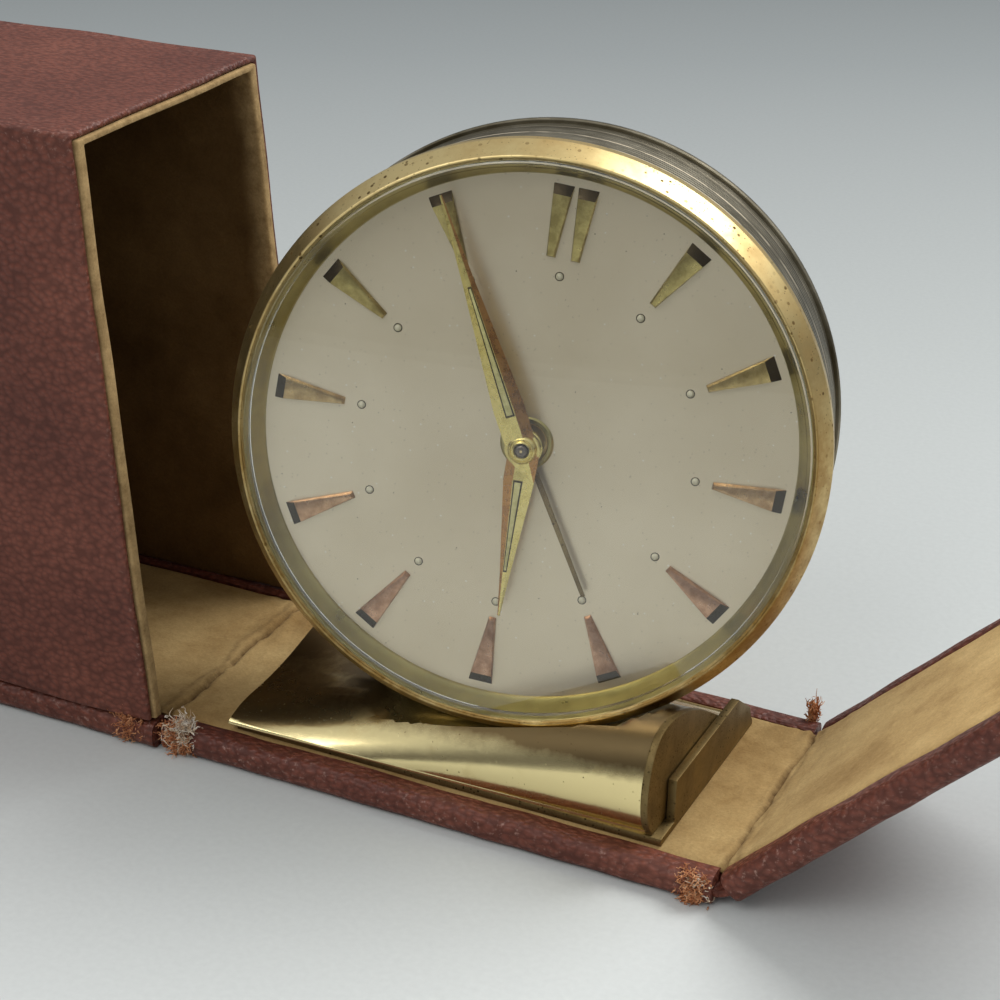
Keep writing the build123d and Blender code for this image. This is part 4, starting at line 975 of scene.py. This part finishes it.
def dome_outline(edge, level, rise):
    """Give the points of a shallow dome from its edge to its middle."""
    radius = (edge**2 + rise**2) / (2 * rise)
    points = []
    for step in range(dome_steps + 1):
        reach = edge * cos(pi / 2 * step / dome_steps)
        points.append((max(reach, 0), level + (radius**2 - reach**2) ** 0.5 - radius + rise))
    return points


outer_rise = crystal_rise + crystal_thickness / 2
outer_dome = dome_outline(crystal_edge - 0.0002, crystal_shoulder + 0.0003, outer_rise)
inner_dome = dome_outline(crystal_edge - crystal_thickness, crystal_shoulder, crystal_rise)
crystal_outline = [
    *reversed(outer_dome),
    (crystal_edge, crystal_shoulder + 0.0001),
    (crystal_edge, crystal_back),
    (crystal_edge - crystal_thickness, crystal_back),
    *inner_dome,
]
crystal_dome = lathe("crystal_dome", crystal_outline)
set_on_dial(crystal_dome, 30, "clock", crystal_glass, "crystal", "crystal")

ring_inner = 0.0259
ring_top = 0.0272
ring_shine = lathe(
    "ring_shine",
    ring_outline(
        [
            (ring_inner, 0.00002), (bezel_bore_radius - 0.0001, 0.00002),
            (bezel_bore_radius - 0.0001, crystal_back), (ring_top + 0.0001, crystal_back),
            (ring_top - 0.0001, crystal_back - 0.0002), (ring_inner + 0.0006, 0.0008),
            (ring_inner + 0.0001, 0.0003),
        ]
    ),
)
set_on_dial(ring_shine, 20, "clock", ring_silver, "silver", "inner_ring")

dial_edge = 0.0277
dial_rear = -0.0004
eyelet_radius = 0.0023
dial_face = lathe(
    "dial_face",
    ring_outline(
        [
            (eyelet_radius, dial_rear), (eyelet_radius, 0), (0.012, 0), (0.02, 0),
            (dial_edge, 0), (dial_edge, dial_rear),
        ]
    ),
)
set_on_dial(dial_face, 20, "clock", dial_paint, "dial_paint", "dial")

eyelet_rim = lathe(
    "eyelet_rim",
    ring_outline(
        [
            (eyelet_radius - 0.0003, dial_rear), (eyelet_radius - 0.0003, 0.0001),
            (eyelet_radius - 0.0002, 0.00018), (eyelet_radius + 0.0001, 0.00018),
            (eyelet_radius + 0.0003, 0.00002), (eyelet_radius, 0.00001),
            (eyelet_radius, dial_rear),
        ]
    ),
    96,
)
set_on_dial(eyelet_rim, 30, "clock", ring_silver, "marker_gold", "eyelet")

# Markers: one tapered bar with a steep outer end, copied round the dial
marker_height = 0.00055
marker_end = 0.00095


def marker_bar(inner_width, outer_width, side, angle):
    """Make one marker at its place on the dial, still flat."""
    bar = block("bar", (-0.5, marker_inner, 0.00001), (0.5, marker_outer, marker_height))
    start_edit(bar)
    mesh = bmesh.from_edit_mesh(bar.data)
    for corner in mesh.verts:
        outer = corner.co.y > (marker_inner + marker_outer) / 2
        top = corner.co.z > marker_height / 2
        half = (outer_width if outer else inner_width) / 2 - (0.00016 if top else 0)
        corner.co.x = half if corner.co.x > 0 else -half
        if top:
            corner.co.y += -marker_end if outer else 0.0002
    bmesh.update_edit_mesh(bar.data)
    bpy.ops.mesh.select_all(action="SELECT")
    bpy.ops.mesh.bevel(offset=0.00004, segments=2, affect="EDGES")
    end_edit()
    put(bar, Matrix.Rotation(-radians(angle), 4, "Z") @ Matrix.Translation((side, 0, 0)))
    return bar


bars = [marker_bar(0.00075, 0.0024, 0, 30 * hour) for hour in range(1, 12)]
bars += [marker_bar(0.0009, 0.002, side * 0.001175, 0) for side in (-1, 1)]
marker_bars = join_pieces("marker_bars", bars)
marker_middle = (marker_inner + marker_outer) / 2
# Painted reflection: the markers' steep outer end faces take the dark metal, for the bezel's dark inside that
# they reflect.
dark_reflection_faces = []
for polygon in marker_bars.data.polygons:
    outward = polygon.center.xy.normalized().dot(polygon.normal.xy)
    if polygon.normal.z > 0.3 and outward > 0.35 and polygon.center.xy.length > marker_middle:
        dark_reflection_faces.append(polygon.index)
set_on_dial(marker_bars, 30, "clock", marker_gold, "marker_gold", "hour_markers")
marker_bars.data.materials.append(patina_and_painted_shade)
for index in dark_reflection_faces:
    marker_bars.data.polygons[index].material_index = 1

# Luminous dots, each a small bead in a thin gold rim
dot_circle = 0.0165
dot_radius = 0.00036
bead_outline = [(dot_radius, 0), (dot_radius * 0.9, 0.00012), (dot_radius * 0.5, 0.0002), (0, 0.00023)]
beads, rims = [], []
for hour in range(12):
    place = Matrix.Rotation(-radians(30 * hour), 4, "Z") @ Matrix.Translation((0, dot_circle, 0))
    bead = lathe("bead", bead_outline, 20)
    put(bead, place)
    beads.append(bead)
    start_afresh()
    bpy.ops.mesh.primitive_torus_add(
        major_radius=dot_radius + 0.00003, minor_radius=0.00005, major_segments=24, minor_segments=6
    )
    rim = bpy.context.object
    put(rim, place)
    rims.append(rim)
dot_beads = join_pieces("dot_beads", beads)
set_on_dial(dot_beads, 60, "clock", bead_paint, "dot_lume", "dial_dots")
dot_rims = join_pieces("dot_rims", rims)
set_on_dial(dot_rims, 60, "clock", patina_and_painted_shade, "marker_gold")


# Hands: long blades with two slopes and a flat ridge that holds a luminous strip
def blade(name, stations, level, thickness):
    """Make a flat-ridged blade. Each station has a place, half width, ridge half width and height."""
    piece = grid(name, 3, len(stations) - 1)
    for point in piece.data.vertices:
        column = round(3 * (point.co.x + 0.5))
        y, half, ridge_half, height = stations[round((len(stations) - 1) * (point.co.y + 0.5))]
        point.co = ((-half, -ridge_half, ridge_half, half)[column], y, height if column in (1, 2) else 0)
    thicken(piece, thickness)
    # Painted shade: one slope of each blade is marked to take the hands' shaded gilt.
    slope = piece.data.attributes.new("shaded_slope", "FLOAT", "FACE")
    for polygon in piece.data.polygons:
        slope.data[polygon.index].value = 1 if polygon.normal.x > 0.05 else 0
    put(piece, Matrix.Translation((0, 0, level + thickness)))
    return piece


def hub_plate(bore, radius, level, thickness):
    """Make the round eye of a hand, its upper edge rounded."""
    return lathe(
        "hub",
        ring_outline(
            [
                (bore, level), (radius, level), (radius, level + thickness * 0.7),
                (radius - 0.00012, level + thickness), (bore, level + thickness),
            ]
        ),
        64,
    )


def on_hand(angle):
    """Give the place of a hand that points this many degrees past twelve."""
    return dial_place @ Matrix.Rotation(-radians(angle), 4, "Z")


def strip(name, start, end, start_width, end_width, thickness, bevel, height_at, angle):
    """Make a narrow tapered strip along a hand, each of its points raised by the height there."""
    piece = block(name, (-0.5, start, 0), (0.5, end, thickness))
    for point in piece.data.vertices:
        half = (start_width if point.co.y < (start + end) / 2 else end_width) / 2
        point.co.x = half if point.co.x > 0 else -half
        point.co.z += height_at(point.co.y)
    modify(piece, "BEVEL", width=bevel, segments=2, limit_method="ANGLE")
    put(piece, on_hand(angle))
    smooth(piece)
    return piece


blade_thickness = 0.0002
slot_depth = 0.00003
lume_thickness = 0.00008
lume_margin = 0.0002
minute_angle, hour_angle, alarm_angle = -28.5, 177.5, 148.2
for hand, body, node, stations, slot_start, slot_end, bore, eye, level, angle in (
    (
        "minute", "minute_works", "minute_hand",
        (
            (-0.0034, 0.0001, 0.00005, 0.00005),
            (-0.0012, 0.0013, 0.0003, 0.0003),
            (0.0012, 0.0015, 0.0005, 0.00042),
            (0.0042, 0.00155, 0.00052, 0.0005),
            (0.0166, 0.00062, 0.0002, 0.00026),
            (0.0252, 0.00012, 0.00004, 0.00008),
        ),
        0.0034, 0.0163, 0.00092, 0.00172, 0.0024, minute_angle,
    ),
    (
        "hour", "hour_works", "hour_hand",
        (
            (-0.0024, 0.0001, 0.00005, 0.00005),
            (-0.0008, 0.0012, 0.0003, 0.0002),
            (0.0012, 0.00145, 0.0005, 0.0003),
            (0.0034, 0.0015, 0.00052, 0.0004),
            (0.0128, 0.0005, 0.0002, 0.0002),
            (0.0172, 0.00012, 0.00004, 0.00006),
        ),
        0.0032, 0.0126, 0.00132, 0.0018, 0.00165, hour_angle,
    ),
):
    hand_blade = blade("blade", stations, level, blade_thickness)
    hand_piece = join_pieces(f"{hand}_blade", [hand_blade, hub_plate(bore, eye, level, 0.00024)])
    put(hand_piece, on_hand(angle))
    smooth(hand_piece, 12)
    finish_piece(hand_piece, body, hand_gold, "marker_gold", node)
    near, far = stations[3], stations[4]

    def ridge_height(y):
        """Give the height of the flat ridge this far along the hand."""
        share = (y - near[0]) / (far[0] - near[0])
        return level + blade_thickness + near[3] + (far[3] - near[3]) * min(max(share, 0), 1)

    slot_sizes = (0.00092, 0.00036, slot_depth, slot_depth / 3)
    # Painted shade: a dark strip in the ridge's slot, round the luminous strip.
    slot_shade_strip = strip(f"{hand}_slot", slot_start, slot_end, *slot_sizes, ridge_height, angle)
    finish_piece(slot_shade_strip, body, patina_and_painted_shade, "marker_gold")
    ends = (slot_start + lume_margin, slot_end - lume_margin)
    lume_sizes = (0.0006, 0.0002, lume_thickness, lume_thickness / 3)
    glow = strip(f"{hand}_lume", *ends, *lume_sizes, lambda y: ridge_height(y) + 0.00002, angle)
    finish_piece(glow, body, lume, "dot_lume")
alarm_needle = strip(
    "alarm_needle", 0.0012, 0.0159, 0.0006, 0.0004, 0.00022, 0.00003, lambda y: 0.001, alarm_angle
)
finish_piece(alarm_needle, "alarm_works", rail_brass, "marker_gold", "alarm_hand")

hub_cap = lathe(
    "hub_cap",
    [
        (0.00052, 0.0026), (0.0014, 0.0026), (0.00142, 0.00278), (0.00132, 0.00296),
        (0.00112, 0.00305), (0.00104, 0.00296), (0.00096, 0.00296), (0.0009, 0.00312),
        (0.00078, 0.00317), (0.00068, 0.0031), (0.00066, 0.0029), (0.00052, 0.0029),
        (0.00052, 0.0026),
    ],
    96,
)
set_on_dial(hub_cap, 40, "minute_works", hand_gold, "marker_gold", "hand_collet")
hub_well = lathe(
    "hub_well",
    ring_outline([(0.00051, 0.0029), (0.00067, 0.0029), (0.00066, 0.00306), (0.00051, 0.00304)]),
    64,
)
set_on_dial(hub_well, 30, "minute_works", patina_and_painted_shade, "marker_gold")
pin_end = lathe(
    "pin_end",
    [
        (0.00055, 0.0031), (0.00055, 0.00336), (0.00045, 0.00344),
        (0.0003, 0.00346), (0.00026, 0.00338), (0, 0.00336),
    ],
    64,
)
set_on_dial(pin_end, 30, "minute_works", dark_steel, "steel")

# Fittings at the back, their edges rounded
for node, body, metal, slot_name, bevel in (
    ("back_cover", "clock", back_brass, "back_brass", 0.00008),
    ("back_screws", "clock", steel, "steel", 0.00012),
    ("time_key", "time_winder", back_brass, "back_brass", 0.0002),
    ("alarm_key", "alarm_winder", back_brass, "back_brass", 0.0002),
    ("time_key_bow", "time_bow", back_brass, "back_brass", 0.0002),
    ("alarm_key_bow", "alarm_bow", back_brass, "back_brass", 0.0002),
    ("time_set_knob", "minute_works", back_brass, "back_brass", 0.00006),
    ("alarm_set_knob", "alarm_setter", back_brass, "back_brass", 0.00006),
    ("regulator_lever", "regulator", steel, "steel", 0.00008),
    ("alarm_stop_button", "stop_button", steel, "steel", 0.00025),
    ("ball_socket", "base", rail_brass, "saddle_brass", 0.00012),
    ("ball_stud", "clock", steel, "steel", 0),
):
    finish_piece(worn_copy(node, f"{node}_worn", bevel), body, metal, slot_name, node)

# The movement keeps its solids, in brass and steel
steel_nodes = {"stud_nut", "gong_ring", "time_spring", "alarm_spring", "hairspring", "pallet_fork", "hammer"}
for node, solid in frame["nodes"].items():
    if not solid.hide_render:
        solid.data.materials.clear()
        solid.data.materials.append(steel if node in steel_nodes else works_brass)


# Frayed fibres where the leather has worn through at the crease ends
def three_noises(spot_for):
    """Give a vector of three noise values, each taken at the spot for its axis."""
    return Vector([noise.noise(Vector(spot_for(axis))) for axis in range(3)])


def fray(name, body, material, place, count, spread, reach, lean, seed):
    """Make a felted tuft of fine curled fibres that grows from one spot."""
    start_afresh()
    curve = bpy.data.curves.new(name, "CURVE")
    curve.dimensions = "3D"
    curve.bevel_depth = 0.00007
    curve.bevel_resolution = 0
    curve.resolution_u = 3
    leftmost, rightmost = place[0] - spread[0] * 1.25, place[0] + spread[0] * 1.25
    for index in range(count):
        far = three_noises(lambda axis: (index * 1.7, axis * 9.1, seed))
        root = Vector([place[axis] + spread[axis] * 1.6 * far[axis] for axis in range(3)])
        spline = curve.splines.new("NURBS")
        spline.points.add(5)
        way = Vector(lean) + 2.4 * three_noises(lambda axis: (index * 2.3 + 50, axis * 7.7, seed))
        step = way.normalized() * reach * (0.6 + 0.7 * noise.noise(Vector((index * 5.1, 2, seed)))) / 5
        for order, point in enumerate(spline.points):
            curl = three_noises(lambda axis: (index * 3.1, order * 0.9, axis * 5.3 + seed))
            spot = root + step * order + curl * reach * 0.5 * order / 5
            spot.x = min(max(spot.x, leftmost), rightmost)
            spot.z = max(spot.z, 0.0001)
            point.co = (*spot, 1)
            point.radius = 1.25 - 0.17 * order
        spline.order_u = 3
        spline.use_endpoint_u = True
    pick(add_object(name, curve))
    bpy.ops.object.convert(target="MESH")
    smooth(bpy.context.object, 60)
    finish_piece(bpy.context.object, body, material, "leather")


front_edge = -base_half_depth
for tuft in (
    ("right_front_fray", "base", fibre, (half_span - 0.0022, front_edge + 0.0004, 0.0015),
     700, (0.0015, 0.0009, 0.0018), 0.0012, (0, -0.5, 0.1), 3),
    ("right_front_pale_fray", "base", pale_fibre, (half_span - 0.0018, front_edge + 0.0004, 0.0018),
     110, (0.0013, 0.0008, 0.0012), 0.0012, (0, -0.5, 0.3), 31),
    ("right_back_fray", "base", fibre, (half_span - 0.0014, -front_edge - 0.0004, 0.0034),
     170, (0.0006, 0.0006, 0.0015), 0.0015, (0, 0, 1), 8),
    ("left_front_fray", "base", fibre, (-half_span + 0.0022, front_edge + 0.0006, 0.0016),
     700, (0.002, 0.001, 0.0019), 0.0014, (0, -0.4, 0.3), 12),
    ("left_front_pale_fray", "base", pale_fibre, (-half_span + 0.0027, front_edge + 0.0008, 0.0022),
     560, (0.0016, 0.0013, 0.0016), 0.0016, (0, -0.3, 0.7), 15),
    ("left_back_fray", "base", fibre, (-half_span + 0.0012, -front_edge - 0.0006, 0.002),
     50, (0.0009, 0.0006, 0.0011), 0.0015, (0, 0.6, 0.4), 17),
    ("spine_fray", "spine", fibre, (-half_span - 0.0034, front_edge + 0.0004, 0.0019),
     560, (0.0018, 0.0009, 0.0019), 0.0015, (0, -0.5, 0.2), 21),
):
    fray(*tuft)

# Pale floor, lighter in front and darker far behind as painted light and shade, and soft studio light
start_afresh()
bpy.ops.mesh.primitive_plane_add(size=6, location=(0, 0, -0.00002))
floor = bpy.context.object
floor.name = "floor"
paint = Paint("pale_floor")
# Painted light and shade on the floor: lighter near the front, darker far behind where the backdrop falls
# into shadow.
away = paint.plus(paint.times(paint.along("X"), -0.42), paint.times(paint.along("Y"), 0.907))
floor_painted_light_and_shade = paint.ramp(
    paint.span(away, -0.05, 0.36),
    (0, (0.67, 0.695, 0.68)),
    (0.42, (0.46, 0.485, 0.475)),
    (0.64, (0.36, 0.383, 0.38)),
    (0.82, (0.275, 0.298, 0.3)),
    (1, (0.215, 0.235, 0.238)),
)
speckle = paint.mix(paint.noise(1400, 3), (0.94, 0.94, 0.94), (1.06, 1.06, 1.06))
floor.data.materials.append(paint.finish({"Base Color": paint.tint(floor_painted_light_and_shade, speckle), "Roughness": 0.5}))


def soft_lamp(name, place, target, size, power):
    """Hang one square soft lamp that looks at a point."""
    lamp_data = bpy.data.lights.new(name, "AREA")
    lamp_data.shape = "SQUARE"
    lamp_data.size = size
    lamp_data.energy = power
    lamp = add_object(name, lamp_data)
    lamp.location = place
    lamp.rotation_mode = "QUATERNION"
    lamp.rotation_quaternion = (Vector(target) - Vector(place)).to_track_quat("-Z", "Y")


soft_lamp("back_window", (0.3, 0.45, 0.7), (0, 0, 0.03), 0.45, 5.3)
soft_lamp("front_fill", (-0.2, -0.6, 0.75), (0, 0, 0.03), 0.5, 2.2)

world = bpy.data.worlds.new("studio")
bpy.context.scene.world = world
sky = Paint(world, "Generated")
sky_tone = sky.ramp(
    sky.along("Z"),
    (0.0, (0.16, 0.16, 0.17)),
    (0.2, (0.22, 0.22, 0.23)),
    (0.45, (0.8, 0.83, 0.85)),
    (1.0, (0.95, 0.95, 0.95)),
)
sky.feed(sky.nodes["Background"].inputs["Color"], sky_tone)
sky.feed(sky.nodes["Background"].inputs["Strength"], 0.62)

bpy.context.scene.view_settings.view_transform = "Standard"
